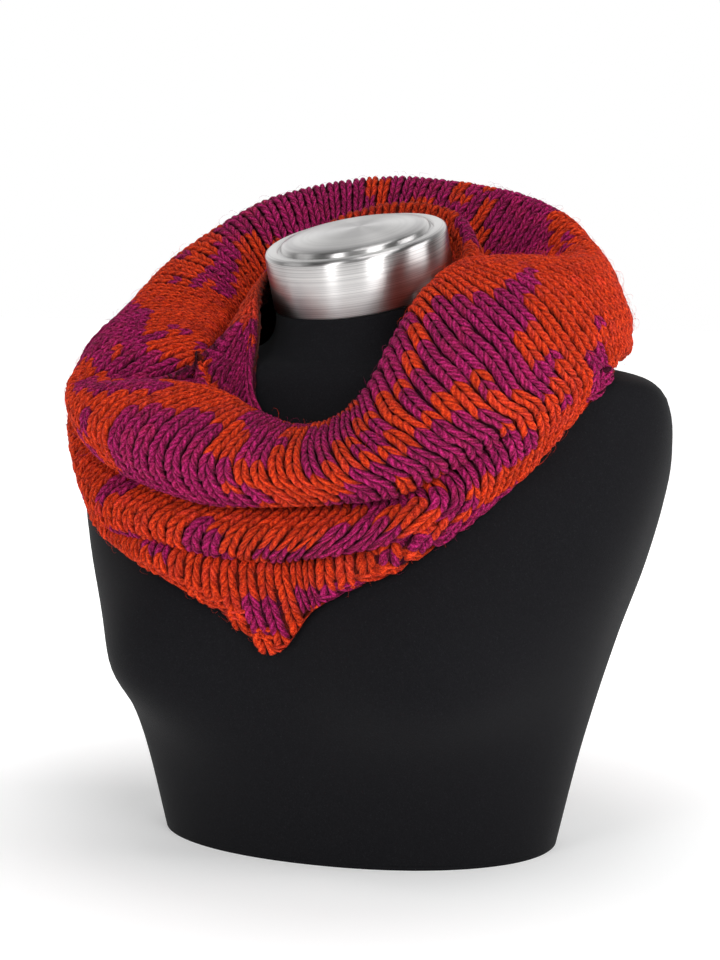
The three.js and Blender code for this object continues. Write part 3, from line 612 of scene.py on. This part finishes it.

# %% [markdown]
# ## Where the colours lie
#
# The patches were placed one by one: each row is a rounded patch of purple (1) or orange (0) at a turn and
# a length of cloth below the belly, with its half width in degrees, its half height in millimetres and
# how many degrees it slants over that height. Later rows lie over earlier ones, and the last twelve
# are the sides and back that no picture shows. Every stitch asks the table once, with a little
# chance added, so edges come out jagged, in whole stitches.

# %% Colour patches
PATCHES = table("purple turn down turns downs slant", [
    (1, -139, -38, 15, 39, -2), (1, -120, -35, 5, 50, -9), (1, -112, -51, 3, 47, -9),
    (1, -103, -63, 4.5, 8, 0), (1, -88, -32, 6.5, 48, -20), (1, -65, -47, 10, 40, -22),
    (1, -82, -8, 4, 22, -4), (1, 161, -38, 21, 42, 5), (1, 151, -42, 9.5, 51, 10), (1, -165, -42, 12, 40, 0),
    (0, -164, -45, 3, 20, 1), (0, 170, -41, 3.5, 14, 2), (0, 163, -49, 3, 34, 6), (1, 138, -46, 8, 30, 12),
    (1, 53, -39, 8.4, 38, 5), (1, 31, -58, 10, 30, -7), (1, 42, -38, 7, 26, 0), (1, 28, -18, 5, 9, -1),
    (1, 63, -40, 3, 12, 0), (1, 64, 7, 3.4, 19, 4), (1, 72, -54, 4, 9, -2), (1, 80, 27, 3, 24, 2),
    (1, 48, 9, 8.6, 40, 9), (1, 39, 13, 6, 20, 6), (0, 24, -31, 4, 6, -1), (0, 31, -39, 3.5, 7, -2),
    (0, 38, -52, 2.5, 9, -2), (0, 42, -69, 2.5, 9, 1), (0, 32, -6, 5, 6, -1), (0, 39, -10, 3.5, 6, -1),
    (0, 46, -15, 4, 7, -1), (0, 52, -4, 3, 9, 3), (0, 57, 11, 3.5, 15, 4),
    (1, -28, 4, 15.5, 34, 1), (1, -24, -30, 6, 8, 0), (1, -14, 6, 3, 14, 0), (1, -5, -27, 6, 23, 2.5),
    (1, 14, -27, 7, 22, -1), (0, 19, -13, 2.2, 13, 2), (1, -55, 22, 3, 34, -5), (1, -50, -45, 12, 10, 7),
    (1, -9, 22, 5, 12, -4), (1, -49, 76, 4, 10, 0), (1, -22, 96, 7, 19, -4), (1, -44, 110, 5, 6, 3),
    (1, -38, 128, 4, 8, 0), (1, 20, 85, 9.5, 16, -4), (0, 11, 84, 1.8, 10, -2), (1, 38, 95, 8.5, 10, -1),
    (1, 46, 61, 5.8, 10, 1), (1, 29, 44, 9.3, 24, 4), (1, 49, 46, 4.9, 8, 0), (1, 56, 70, 4, 10, 1),
    (1, 63, 84, 5, 8, 0), (1, -4, 148, 5, 8, 0), (1, -3, 158, 4, 6, 1), (1, 9, 142, 7, 7, 2),
    (1, 20, 134, 9, 4, 0), (1, 33, 116, 5, 5, 0), (1, -33, 44, 17, 16, 1), (1, 25, 19, 8, 19, -3),
    (1, 3, 97, 6, 8, 0),
    (0, 54, 56, 4, 9, 2), (0, 134, -46, 4, 22, 6), (1, 65, -51, 5, 9, 0), (0, -114, -40, 7, 26, -8),
    (0, -37, -37, 5, 8, 4), (0, 64, -16, 3, 14, 0), (1, -157, -62, 6, 20, 2), (0, -48, 4, 3, 12, -5),
    (1, -58, -24, 5.5, 18, -9), (0, -76, -66, 5, 9, 0), (1, 46, 82, 4, 8, -3), (1, 32, 93, 4, 10, 1),
    (0, 67, 20, 2, 8, 0), (1, 165, -42, 3.5, 12, 2), (0, -12, -26, 3, 9, 0), (0, 3, -13, 3, 10, -1),
    (1, 11, -10, 2.5, 8, 0), (1, -13, -50, 5, 7, -2), (1, 0, -50, 6, 5, 0), (1, 65, 2, 3, 8, 0),
    (1, 178, -44, 6, 12, 0), (1, -47, -40, 7, 6, 0), (1, -55, -69, 6, 6, 0), (1, -36, -92, 8, 10, 0),
    (1, -143, -75, 5, 8, 0), (1, -125, -36, 3, 20, -4), (0, 38, 34, 5, 5, 0),
    (1, 172, 34, 13, 22, 6), (1, -152, 62, 15, 13, -4), (1, 132, 74, 12, 12, 5), (1, -122, 34, 11, 24, -8),
    (1, 112, 122, 10, 13, 4), (1, -170, 124, 14, 10, 3), (1, -96, 92, 9, 12, -5), (1, 152, 142, 12, 9, 2),
    (1, -128, 138, 9, 9, 0), (1, 100, 62, 6, 14, 3), (0, 176, 36, 3, 16, 4), (0, -124, 30, 3, 12, -3),
])
COLLAR_PATCHES = table("purple turn down turns downs slant", [
    (1, 132, 4, 14, 11, 3), (1, 165, 18, 22, 8, 0), (1, -53, 26, 14, 24, -8), (1, -34, 16, 14, 22, -8),
    (1, -150, 20, 20, 8, 0), (1, -112, -6, 10, 12, 0), (1, 96, 12, 12, 10, 4), (1, 20, -14, 12, 8, 0),
])


EDGE_CHANCE = 0.08


def purple_share(patches, turn, down):
    share = np.zeros(turn.shape)
    edge = chance.normal(0, EDGE_CHANCE, turn.shape)
    for purple, at, level, turns, downs, slant in zip(*patches.values()):
        drop = (down - level) / downs
        side = wrapped(turn - at - slant * drop) / turns
        inside = (np.abs(side) ** 3 + np.abs(drop) ** 3) ** (1 / 3) + edge < 1
        share = np.where(inside, purple, share)
    return share


# %% [markdown]
# ## Strips of small tubes
#
# Stitches and stray hairs are thousands of copies of one small tube. A tube is made once, and an Array
# modifier lays its copies out in a strip, well apart, so that a corner's place tells whose it is. Then
# every copy is bent into its own place, with its colour and its own square of the baked picture.

# %% A tube, and a strip of copies
STRIP = 4  # how far apart the copies lie


def tube(bm, sides, cuts, tip=1.0):
    """A closed upright tube of unit radius and length, cut into rings. Returns its corners."""
    for v in bm.verts:
        v.tag = True
    made = bmesh.ops.create_cone(bm, cap_ends=True, segments=sides, radius1=1, radius2=tip, depth=1)
    lengthways = dict.fromkeys(e for v in made["verts"] for e in v.link_edges
                               if abs(e.verts[0].co.z - e.verts[1].co.z) > 0.5)
    bmesh.ops.subdivide_edges(bm, edges=list(lengthways), cuts=cuts)
    return [v for v in bm.verts if not v.tag]


def piece_of(name, bm):
    """An object with a bmesh's shape."""
    mesh = bpy.data.meshes.new(name)
    bm.to_mesh(mesh)
    bm.free()
    piece = bpy.data.objects.new(name, mesh)
    bpy.context.scene.collection.objects.link(piece)
    return piece


def applied(piece):
    """The piece with its modifiers made part of its mesh."""
    bpy.context.view_layer.update()
    made = bpy.data.meshes.new_from_object(piece.evaluated_get(bpy.context.evaluated_depsgraph_get()))
    old, name = piece.data, piece.name
    piece.modifiers.clear()
    piece.data = made
    bpy.data.meshes.remove(old)
    made.name = name
    return piece


def strip(name, count, add_shape):
    bm = bmesh.new()
    for layer in ("strand", "OFBake"):
        bm.loops.layers.uv.new(layer)
    add_shape(bm)
    bmesh.ops.recalc_face_normals(bm, faces=bm.faces)
    piece = piece_of(name, bm)
    array = piece.modifiers.new("copies", "ARRAY")
    array.use_relative_offset, array.use_constant_offset = False, True
    array.constant_offset_displace = (STRIP, 0, 0)
    array.count = count
    return applied(piece)


# %% Reading a strip, and laying it on the cloth
def read(mesh_items, name, width):
    values = np.empty(len(mesh_items) * width, np.float32)
    mesh_items.foreach_get(name, values)
    return values.reshape(-1, width).astype(float)


def strip_corners(piece):
    """Whose each corner is, and where it lies in its copy."""
    flat = read(piece.data.vertices, "co", 3)
    whose = np.rint(flat[:, 0] / STRIP).astype(int)
    return whose, flat[:, 0] - whose * STRIP, flat[:, 1], flat[:, 2]


def lay(piece, cloth, whose, turn, down, high, share, bright):
    """Move the corners onto the cloth, and colour each copy and give it its square to bake in."""
    mesh = piece.data
    point, normal, _ = cloth.at(turn, down)
    high = high + cloth.swell(turn, down)
    mesh.vertices.foreach_set("co", ((point + normal * high[:, None]) * MM).ravel())
    tint = np.stack([share[whose], bright, whose * 0, whose * 0 + 1], 1)
    mesh.attributes.new("tint", "FLOAT_COLOR", "POINT").data.foreach_set("color", tint.ravel())
    owner = whose[read(mesh.loops, "vertex_index", 1).astype(int).ravel()]
    cells = math.ceil(math.sqrt(len(share)))
    atlas = mesh.uv_layers["OFBake"]
    place = read(atlas.data, "uv", 2) + np.stack([owner % cells, owner // cells], 1)
    atlas.data.foreach_set("uv", (place / cells).ravel())
    mesh.shade_smooth()
    mesh.materials.append(yarn)
    mesh.update()


def faces_of(piece):
    return sum(len(p.vertices) - 2 for p in piece.data.polygons)


# %% [markdown]
# ## One stitch
#
# A stitch of stockinette shows as a V: two legs of yarn that start side by side under the stitch below,
# swell, lean outwards and dive under the stitch above. One leg is an eight-sided tube that is cut into
# rings and bent along a short path. Its sizes are in wales across, rows along and millimetres high.

# %% Leg and stitch
LEG = table("along_leg across along high thick", [
    (0, 0.125, -0.90, -2.8, 0.6), (0.18, 0.17, -0.52, -1.0, 0.95), (0.45, 0.23, 0.05, -0.2, 1.02),
    (0.72, 0.28, 0.62, -0.6, 0.98), (1, 0.315, 1.15, -3.2, 0.6),
])
LEG_SIDES, LEG_CUTS = 8, 5
LEG_WIDE, LEG_HIGH, LEG_SLOPE = 0.200, 2.1, 0.08


def add_leg(bm, side):
    corners = tube(bm, LEG_SIDES, LEG_CUTS)
    strand, atlas = bm.loops.layers.uv["strand"], bm.loops.layers.uv["OFBake"]
    for face in {f for v in corners for f in v.link_faces}:
        turns = [math.atan2(loop.vert.co.y, loop.vert.co.x) / (2 * math.pi) for loop in face.loops]
        wraps = max(turns) - min(turns) > 0.5 and len(turns) == 4
        for loop, share in zip(face.loops, turns):
            share = share + 1 if wraps and share < 0 else share
            along_leg = loop.vert.co.z + 0.5
            loop[strand].uv = (share + 0.5, along_leg)
            loop[atlas].uv = (0.5 + side * 0.24 + (share - 0.1) * 0.40, 0.04 + 0.92 * along_leg)
    for v in corners:
        along_leg = np.float64(v.co.z + 0.5)
        across, level, high, fat = (float(along(LEG, "along_leg", along_leg, name)) for name in list(LEG)[1:])
        v.co = (side * (across + v.co.x * LEG_WIDE * fat), level + v.co.x * LEG_SLOPE * fat,
                high + v.co.y * LEG_HIGH * fat)


def add_stitch(bm):
    for side in (1, -1):
        add_leg(bm, side)


# %% [markdown]
# ## Knitting
#
# Every stitch has a wale (its column, round the neck) and a row. Each corner's place within its stitch
# is added to those, turned into a turn and a length of cloth, and moved onto the surface. So stitches
# stay one size along the cloth while the folds carry them, and a little chance keeps them uneven.
# Yarn deep in a stitch is shaded by what lies over it, so its colour is darkened there as painted shade.

# %% Knit a set of stitches onto a cloth
WALES, COLLAR_WALES, ROW = 96, 54, 7.4
UNEVEN = {"size": 0.05, "aside": 0.025, "high": 0.22, "along": 0.04, "skew": 0.05}
DEEPEST, SHADE_REACH, DARKEST = -2.4, 4.2, 0.2


def knit(name, cloth, wales, wale, row, share, bright, cross=False):
    """Cross lays the stitches on their side, as in a chain along an edge."""
    piece = strip(name, len(wale), add_stitch)
    stitch, x, y, high = strip_corners(piece)
    # painted shade: yarn lower in the knit gets a darker colour, as if shaded by the yarn over it
    shade = DARKEST + (1 - DARKEST) * np.clip((high - DEEPEST) / SHADE_REACH, 0, 1) ** 1.2
    chances = chance.normal(0, 1, (len(UNEVEN), len(wale))) * np.array(list(UNEVEN.values()))[:, None]
    size, aside, lift, shift, skew = chances[:, stitch]
    x, high = x * (1 + size) + aside, high + lift
    y = y + shift + skew * np.sign(x)
    if cross:
        x, y = y, -x * 1.1
    down = (row[stitch] + 0.5 + y) * ROW
    turn = cloth.turn_of(wale[stitch] + 0.5 + x, wales, down)
    down = np.clip(down, cloth.end(turn, 0) - cloth.over[0], cloth.end(turn, 1) + cloth.over[1])
    lay(piece, cloth, stitch, turn, down, high, share, bright[stitch] * shade)
    print(f"{name}: {len(wale)} stitches, {faces_of(piece)} triangles")
    return piece


# %% Choose the stitches of the body of the scarf
EDGE_ROOM = 1.5
STRAY_STITCHES, COLOUR_CHANCE, BRIGHT_CHANCE = 0.004, 0.05, 0.09


def all_stitches(cloth, wales, top_room):
    """The wale and row of every stitch between a cloth's edges, with its turn, length and ring."""
    rows = np.arange(math.floor(cloth.least / ROW), math.ceil(cloth.ends[1].max() / ROW))
    wale, row = (a.ravel() for a in np.meshgrid(np.arange(wales), rows))
    down = (row + 0.5) * ROW
    turn = cloth.turn_of(wale + 0.5, wales, down)
    shown = (down > cloth.end(turn, 0) + top_room) & (down < cloth.end(turn, 1) - EDGE_ROOM)
    wale, row, turn, down = wale[shown], row[shown], turn[shown], down[shown]
    return wale, row, wrapped(turn), down, cloth.at(turn, down)[2]


def colours(patches, turn, down):
    share = purple_share(patches, turn, down)
    share = np.where(chance.random(len(turn)) < STRAY_STITCHES, 1 - share, share)
    share = np.clip(share + chance.normal(0, COLOUR_CHANCE, len(turn)), 0, 1)
    return share, 1 + chance.normal(0, BRIGHT_CHANCE, len(turn))


wale, row, turn, down, ring = all_stitches(body_cloth, WALES, -3)
share, bright = colours(PATCHES, turn, down)
print("stitches on the body:", len(wale))

# %% Knit the body in pieces, each from one guide ring to the next
PARTS = {"roll_rim_stitches": (0, 4.4), "roll_inner_stitches": (4.4, 5.4), "roll_outer_stitches": (5.4, 8),
         "middle_stitches": (8, 12), "lower_stitches": (12, 16)}
knitted = {}
for name, (first, last) in PARTS.items():
    on = (ring >= first) & (ring < last)
    knitted[name] = knit(name, body_cloth, WALES, wale[on], row[on], share[on], bright[on])

# %% Knit the collar, which lies in the shade of the roll
# painted shade: the collar's yarn colour is dimmed for the roll's shadow over it
COLLAR_SHADE = 0.8
wale, row, turn, down, ring = all_stitches(collar_cloth, COLLAR_WALES, EDGE_ROOM)
share, bright = colours(COLLAR_PATCHES, turn, down)
knitted["collar_stitches"] = knit("collar_stitches", collar_cloth, COLLAR_WALES, wale, row, share,
                                  bright * COLLAR_SHADE)

# %% Close both open edges with a chain
CHAINS = {  # the cloth, its wales and colours, which of its ends, and how far from it
    "hem_chain": (body_cloth, WALES, PATCHES, 1, -3.5),
    "collar_chain": (collar_cloth, COLLAR_WALES, COLLAR_PATCHES, 0, 3.0),
}
for name, (cloth, wales, patches, which, inset) in CHAINS.items():
    wale = np.arange(wales)
    turn = cloth.turn_of(wale + 0.5, wales, np.full(wales, cloth.ends[which].mean()))
    down = cloth.end(turn, which) + inset
    share, bright = colours(patches, wrapped(turn), down)
    knitted[name] = knit(name, cloth, wales, wale, down / ROW - 0.5, share, bright, cross=True)

# %% [markdown]
# ## Stray fibres
#
# Fine hairs stand off the yarn everywhere and soften its outline. Each is a thin three-sided tube that
# starts in a strand, lifts off it and bends over. They are strewn over the cloth by chance.

# %% One hair
HAIR_CUTS, HAIR_TIP, HAIR_THICK = 3, 0.4, 0.085


def add_hair(bm):
    corners = tube(bm, 3, HAIR_CUTS, HAIR_TIP)
    atlas = bm.loops.layers.uv["OFBake"]
    for face in bm.faces:
        for corner, loop in enumerate(face.loops):
            loop[atlas].uv = (0.2 + 0.3 * (corner % 3), 0.55 + 0.8 * loop.vert.co.z)
    for v in corners:
        v.co = (v.co.x * HAIR_THICK, v.co.z + 0.5, v.co.y * HAIR_THICK)


# %% Strew the hairs over the cloth
HAIRS = 3600
FROM_VALLEY, ROOT_HIGH, HAIR_BRIGHT = 8, 1.2, 1.25
fuzz = strip("stray_fibres", HAIRS, add_hair)
hair, side, t, thick = strip_corners(fuzz)
root_turn = chance.uniform(-180, 180, HAIRS)
first, last = body_cloth.end(root_turn, 0) + FROM_VALLEY, body_cloth.end(root_turn, 1)
root_down = first + chance.random(HAIRS) * (last - first)
heading, bend = chance.uniform(0, 2 * math.pi, HAIRS), chance.normal(0, 1.2, HAIRS)
reach, lift = chance.uniform(3, 11, HAIRS), chance.gamma(2.0, 0.9, HAIRS)
way = heading[hair] + bend[hair] * t
out = t * reach[hair]
turn = root_turn[hair] + (np.sin(way) * out + np.cos(way) * side) * 360 / body_cloth.round[-1]
down = root_down[hair] + np.cos(way) * out - np.sin(way) * side
down = np.clip(down, body_cloth.end(turn, 0), body_cloth.end(turn, 1))
high = ROOT_HIGH + lift[hair] * np.sin(np.minimum(t * 2.2, math.pi * 0.75)) + thick
lay(fuzz, body_cloth, hair, turn, down, high, purple_share(PATCHES, wrapped(root_turn), root_down),
    np.full(len(hair), HAIR_BRIGHT))
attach(fuzz, "root")
print("stray_fibres:", faces_of(fuzz), "triangles")

# %% [markdown]
# ## The backs of the stitches
#
# Between the legs the stitch backs show, and from behind they are all that shows. A thin
# closed shell under the legs stands for them. Its yarn colour is dimmed to 0.12, painted shade for the
# gaps between the legs. It starts as a flat grid, whose corners are moved onto
# the surface, its side edges are joined, and Solidify gives it a wall.

# %% A shell under the stitches
SHELL_TOP, SHELL_WALL = 2.3, 1.6
SHELL_COLUMNS, SHELL_BANDS = 240, 8
closed_surface, closed_normals = (np.concatenate([grid, grid[:1]], 0) for grid in (surface, normals(surface)))


def down_at(cloth, across, ring):
    """Length of cloth at a share of the way round and a guide ring."""
    column = np.minimum(across * len(TURNS), len(TURNS) - 1).astype(int)
    row = np.clip(np.rint(ring * PER_RING).astype(int), 0, LAST_RING * PER_RING)
    return TURNS[column], cloth.down[column, row]


def bare_shell(name, cloth, first, last):
    bm = bmesh.new()
    atlas = bm.loops.layers.uv.new("OFBake")
    bands = int((last - first) * SHELL_BANDS)
    bmesh.ops.create_grid(bm, x_segments=SHELL_COLUMNS, y_segments=bands, size=0.5)
    bm.verts.index_update()
    across = np.array([v.co.x + 0.5 for v in bm.verts])
    downwards = np.array([0.5 - v.co.y for v in bm.verts])
    ring = first + (last - first) * downwards
    point, outward = (sample(grid, across * len(TURNS), ring * PER_RING)
                      for grid in (closed_surface, closed_normals))
    off = cloth.swell(across * 360 - 180, down_at(cloth, across, ring)[1]) - SHELL_TOP
    for v, place in zip(bm.verts, (point + outward * off[:, None]) * MM):
        v.co = place
    for face in bm.faces:
        for loop in face.loops:
            loop[atlas].uv = (across[loop.vert.index], 1 - downwards[loop.vert.index])
    bmesh.ops.remove_doubles(bm, verts=bm.verts, dist=1e-6)
    bmesh.ops.recalc_face_normals(bm, faces=bm.faces)
    piece = piece_of(name, bm)
    piece.data.materials.append(yarn_backs_in_painted_shade)
    wall = piece.modifiers.new("wall", "SOLIDIFY")
    wall.thickness, wall.offset = SHELL_WALL * MM, -1
    return applied(piece)


def backing(name, node, cloth, first, last, patches):
    piece = bare_shell(name, cloth, first, last)
    place = read(piece.data.uv_layers["OFBake"].data, "uv", 2)
    share = purple_share(patches, *down_at(cloth, place[:, 0], first + (last - first) * (1 - place[:, 1])))
    tint = np.stack([share, share * 0 + 1, share * 0, share * 0 + 1], 1)
    piece.data.attributes.new("tint", "FLOAT_COLOR", "CORNER").data.foreach_set("color", tint.ravel())
    piece.data.shade_smooth()
    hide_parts(node)
    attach(piece, "root")
    print(f"{name}: {faces_of(piece)} triangles")
    return piece


# %% One shell for each stretch of the scarf, with the stitches that lie on it
SHELLS = {
    "collar_backing": ("collar_stretch", collar_cloth, 0.1, 3, "yarn_inner", COLLAR_PATCHES,
                       ["collar_stitches", "collar_chain"]),
    "roll_inner_backing": ("roll_inner_face", body_cloth, 3, 5.4, "yarn_roll", PATCHES,
                           ["roll_rim_stitches", "roll_inner_stitches"]),
    "roll_outer_backing": ("roll_outer_face", body_cloth, 5.4, 8, "yarn_roll", PATCHES,
                           ["roll_outer_stitches"]),
    "middle_backing": ("middle_fold", body_cloth, 8, 12, "yarn_folds", PATCHES, ["middle_stitches"]),
    "lower_backing": ("lower_fold", body_cloth, 12, 14.85, "yarn_folds", PATCHES,
                      ["lower_stitches", "hem_chain"]),
}


def cut_of(first, last):
    """How far round, how high and how large the cloth between two guide rings is, in metres."""
    first, last = round(first * PER_RING), round(last * PER_RING)
    span = surface[:, first:last + 1]
    wide = np.linalg.norm(np.diff(span, axis=0, append=span[:1]), axis=-1)
    high = np.linalg.norm(np.diff(span, axis=1), axis=-1)
    tall = (length[:, last] - length[:, first]).max()
    return wide.sum(0).max() * MM, tall * MM, (wide[:, :-1] * high).sum() * MM * MM


for name, (node, cloth, first, last, slot, patches, on_it) in SHELLS.items():
    shell = backing(name, node, cloth, first, last, patches)
    for piece_name in on_it:
        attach(knitted[piece_name], "root")
    round_it, tall, area = cut_of(first, last)
    print(f"{name}: cut {round_it:.3f} by {tall:.3f} m, {area:.4f} square metres")

# %% [markdown]
# ## The form and its cap
#
# The form's cover is black stretch fabric over a smooth shell. A grid is moved onto the form's level
# sections, finer than the CAD's, and closed at the top and the underside. The neck turns round towards
# its top, which is cut along the cap's tilt. The cap is turned metal, so its profile is spun round its
# own tilted axis.

# %% Form
CAP_HEIGHT, CAP_GAP = 37, 0.3
cap_axis = Vector((-0.076, -0.254, 0.964)).normalized()
cap_foot = Vector((0, 0, CAP_LEVEL)) - CAP_HEIGHT * cap_axis
LEVELS = np.concatenate([np.linspace(0, 290, 52), np.linspace(293, 332, 30)])
FORM_COLUMNS = 160
NECK_RADIUS, NECK_FROM, NECK_OVER = 56, 296, 36
SHARP = 0.9


def round_neck(turn, out, up):
    return direction(turn, out, up) + np.array((cap_foot.x, cap_foot.y, 0))


def neck_top(turn, out):
    """Places on the neck's slanted top, just under the cap."""
    place = round_neck(turn, out, 0.0)
    off = (cap_axis.x * (place[..., 0] - cap_foot.x) + cap_axis.y * (place[..., 1] - cap_foot.y)) / cap_axis.z
    place[..., 2] = cap_foot.z - CAP_GAP - off
    return place


def form(name):
    rows = len(LEVELS) + 3
    bm = bmesh.new()
    bmesh.ops.create_grid(bm, x_segments=FORM_COLUMNS, y_segments=rows - 1, size=0.5)
    turns = np.array([(v.co.x + 0.5) * 360 for v in bm.verts])
    level = np.rint(np.array([(v.co.y + 0.5) * (rows - 1) for v in bm.verts])).astype(int)
    heights = np.concatenate([[0], LEVELS, [0, 0]])[level]
    places = direction(turns, form_radius(turns, heights), heights)
    rise = np.clip((heights - NECK_FROM) / NECK_OVER, 0, 1)[:, None]
    places = places + (round_neck(turns, NECK_RADIUS, heights) - places) * rise * rise * (3 - 2 * rise)
    ends = {0: 0.0, rows - 2: neck_top(turns, NECK_RADIUS), rows - 1: neck_top(turns, 0.0)}
    for row, there in ends.items():
        places = np.where((level == row)[:, None], there, places)
    for v, place in zip(bm.verts, places * MM):
        v.co = place
    bmesh.ops.remove_doubles(bm, verts=bm.verts, dist=1e-6)
    bmesh.ops.recalc_face_normals(bm, faces=bm.faces)
    for edge in bm.edges:
        edge.smooth = edge.calc_face_angle(0) <= SHARP
    return piece_of(name, bm)


cover = Finish("black stretch fabric", Roughness=0.8, Sheen_Weight=0.03, Sheen_Roughness=0.4,
               Specular_IOR_Level=0.12)
weave, lint = cover.noise(2600, 2), cover.noise(900, 4)
cover.feed("Base Color", cover.ramp(weave * 0.6 + lint * 0.4, (0.35, (0.002, 0.002, 0.003, 1)),
                                    (0.6, (0.006, 0.006, 0.0075, 1)), (0.72, (0.022, 0.022, 0.026, 1))))
cover.bump(weave, 0.4, 0.0003)
form_piece = form("form_cover")
form_piece.data.materials.append(cover.material)
form_piece.data.shade_smooth()
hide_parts("form_torso")
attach(form_piece, "root")
print("form_cover:", faces_of(form_piece), "triangles")

# %% Neck cap
CAP_PROFILE = table("out up", [
    (0, 0), (56.5, 0), (57.6, 0.5), (58, 1.4), (58, 34), (57.4, 35.6), (56, 36.7), (54.8, 37), (50.6, 37),
    (49.8, 36.6), (49.3, 35.7), (48.0, 35.6), (47.4, 36.2), (46.9, 38.4), (45.9, 39.3), (41, 40.3),
    (24, 41.5), (0, 42),
])
CAP_STEPS = 128
bm = bmesh.new()
profile = [bm.verts.new((out, 0, up)) for out, up in zip(*CAP_PROFILE.values())]
edges = [bm.edges.new(pair) for pair in zip(profile, profile[1:])]
bmesh.ops.spin(bm, geom=profile + edges, cent=(0, 0, 0), axis=(0, 0, 1), angle=2 * math.pi, steps=CAP_STEPS,
               use_merge=True)
bmesh.ops.remove_doubles(bm, verts=bm.verts, dist=1e-4)
bmesh.ops.recalc_face_normals(bm, faces=bm.faces)
tilt = Vector((0, 0, 1)).rotation_difference(cap_axis).to_matrix()
for v in bm.verts:
    v.co = (tilt @ v.co + cap_foot) * MM
for edge in bm.edges:
    edge.smooth = edge.calc_face_angle(0) < SHARP
cap_piece = piece_of("cap_metal", bm)
cap_piece.data.shade_smooth()

# %% Brushed metal, with fine rings round the cap's axis
LINES_FINE, LINES_BROAD = 1500, 300
metal = Finish("brushed metal", Metallic=1.0, Anisotropic=0.85, Anisotropic_Rotation=0.25)
along_axis = metal.node("ShaderNodeVectorMath", {"operation": "DOT_PRODUCT"}, {
    0: metal.node("ShaderNodeTexCoord", output="Object"), 1: tuple(cap_axis)}, output="Value")
lines = metal.noise(1, 3, metal.node("ShaderNodeCombineXYZ", {}, {
    "X": along_axis * LINES_FINE, "Y": along_axis * LINES_BROAD}))
metal.feed("Base Color", metal.ramp(lines, (0.35, (0.40, 0.39, 0.39, 1)), (0.65, (0.66, 0.65, 0.64, 1))))
metal.feed("Roughness", lines * 0.14 + 0.24)
metal.bump(lines, 0.15, 0.0002)
cap_piece.data.materials.append(metal.material)
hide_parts("neck_cap")
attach(cap_piece, "root")
print("cap_metal:", faces_of(cap_piece), "triangles")

# %% [markdown]
# ## Floor and light
#
# A plain pale floor, which glows a little more further out so that it runs into the white behind, and
# soft boxes all round, as in a studio. The two tall ones in front are what the metal cap mirrors as
# upright bright bands. Each row gives a box's turn, height, distance, size in metres and power.

# %% Floor and lamps
bpy.ops.mesh.primitive_plane_add(size=12)
floor = bpy.context.object
floor.name = "floor"
paper = Finish("pale paper", Roughness=0.9, Base_Color=(0.8, 0.8, 0.8, 1), Emission_Strength=1.0)
away = paper.node("ShaderNodeVectorMath", {"operation": "LENGTH"},
                  {0: paper.node("ShaderNodeTexCoord", output="Object")}, output="Value")
paper.feed("Emission Color", paper.ramp(away, (0.17, (0.3, 0.3, 0.3, 1)), (0.6, (0.95, 0.95, 0.95, 1))))
floor.data.materials.append(paper.material)
LIT_PLACE = Vector((0, 0, 0.3))
LAMPS = table("turn up away wide tall power", [
    (-12, 0.9, 2.0, 0.45, 2.0, 12), (42, 0.9, 2.0, 0.75, 2.0, 20), (-70, 1.3, 1.7, 1.0, 1.0, 3),
    (100, 1.1, 1.9, 1.0, 1.4, 14), (35, 2.2, 0.5, 1.0, 1.0, 10),
])
for turn, up, away, wide, tall, power in zip(*LAMPS.values()):
    lamp = bpy.data.objects.new(f"softbox_{turn:.0f}", bpy.data.lights.new("softbox", "AREA"))
    lamp.data.shape, lamp.data.size, lamp.data.size_y, lamp.data.energy = "RECTANGLE", wide, tall, power
    lamp.location = direction(turn, away, up)
    lamp.rotation_euler = (LIT_PLACE - lamp.location).to_track_quat("-Z", "Y").to_euler()
    bpy.context.scene.collection.objects.link(lamp)

# %% [markdown]
# ## The room
#
# A white backdrop lies behind the form as the camera sees it, and the room in front of it is dimmer, so
# that the folds keep their shade. The world's strength therefore rises smoothly with how far a
# direction points away from the camera.

# %% Backdrop
world = bpy.data.worlds.new("studio")
room = Nodes(world, "Background")
facing = room.node("ShaderNodeVectorMath", {"operation": "DOT_PRODUCT"}, {
    0: room.node("ShaderNodeTexCoord", output="Generated"), 1: tuple(-towards)}, output="Value")
room.feed("Strength", room.node("ShaderNodeMapRange", {"interpolation_type": "SMOOTHSTEP"}, {
    "Value": facing, "From Min": 0.2, "From Max": 0.85, "To Min": 0.08, "To Max": 1.0}))
room.shader.inputs["Color"].default_value = (1, 1, 1, 1)
bpy.context.scene.world = world
bpy.context.scene.view_settings.view_transform = "Standard"
print("lamps:", len(LAMPS["turn"]))
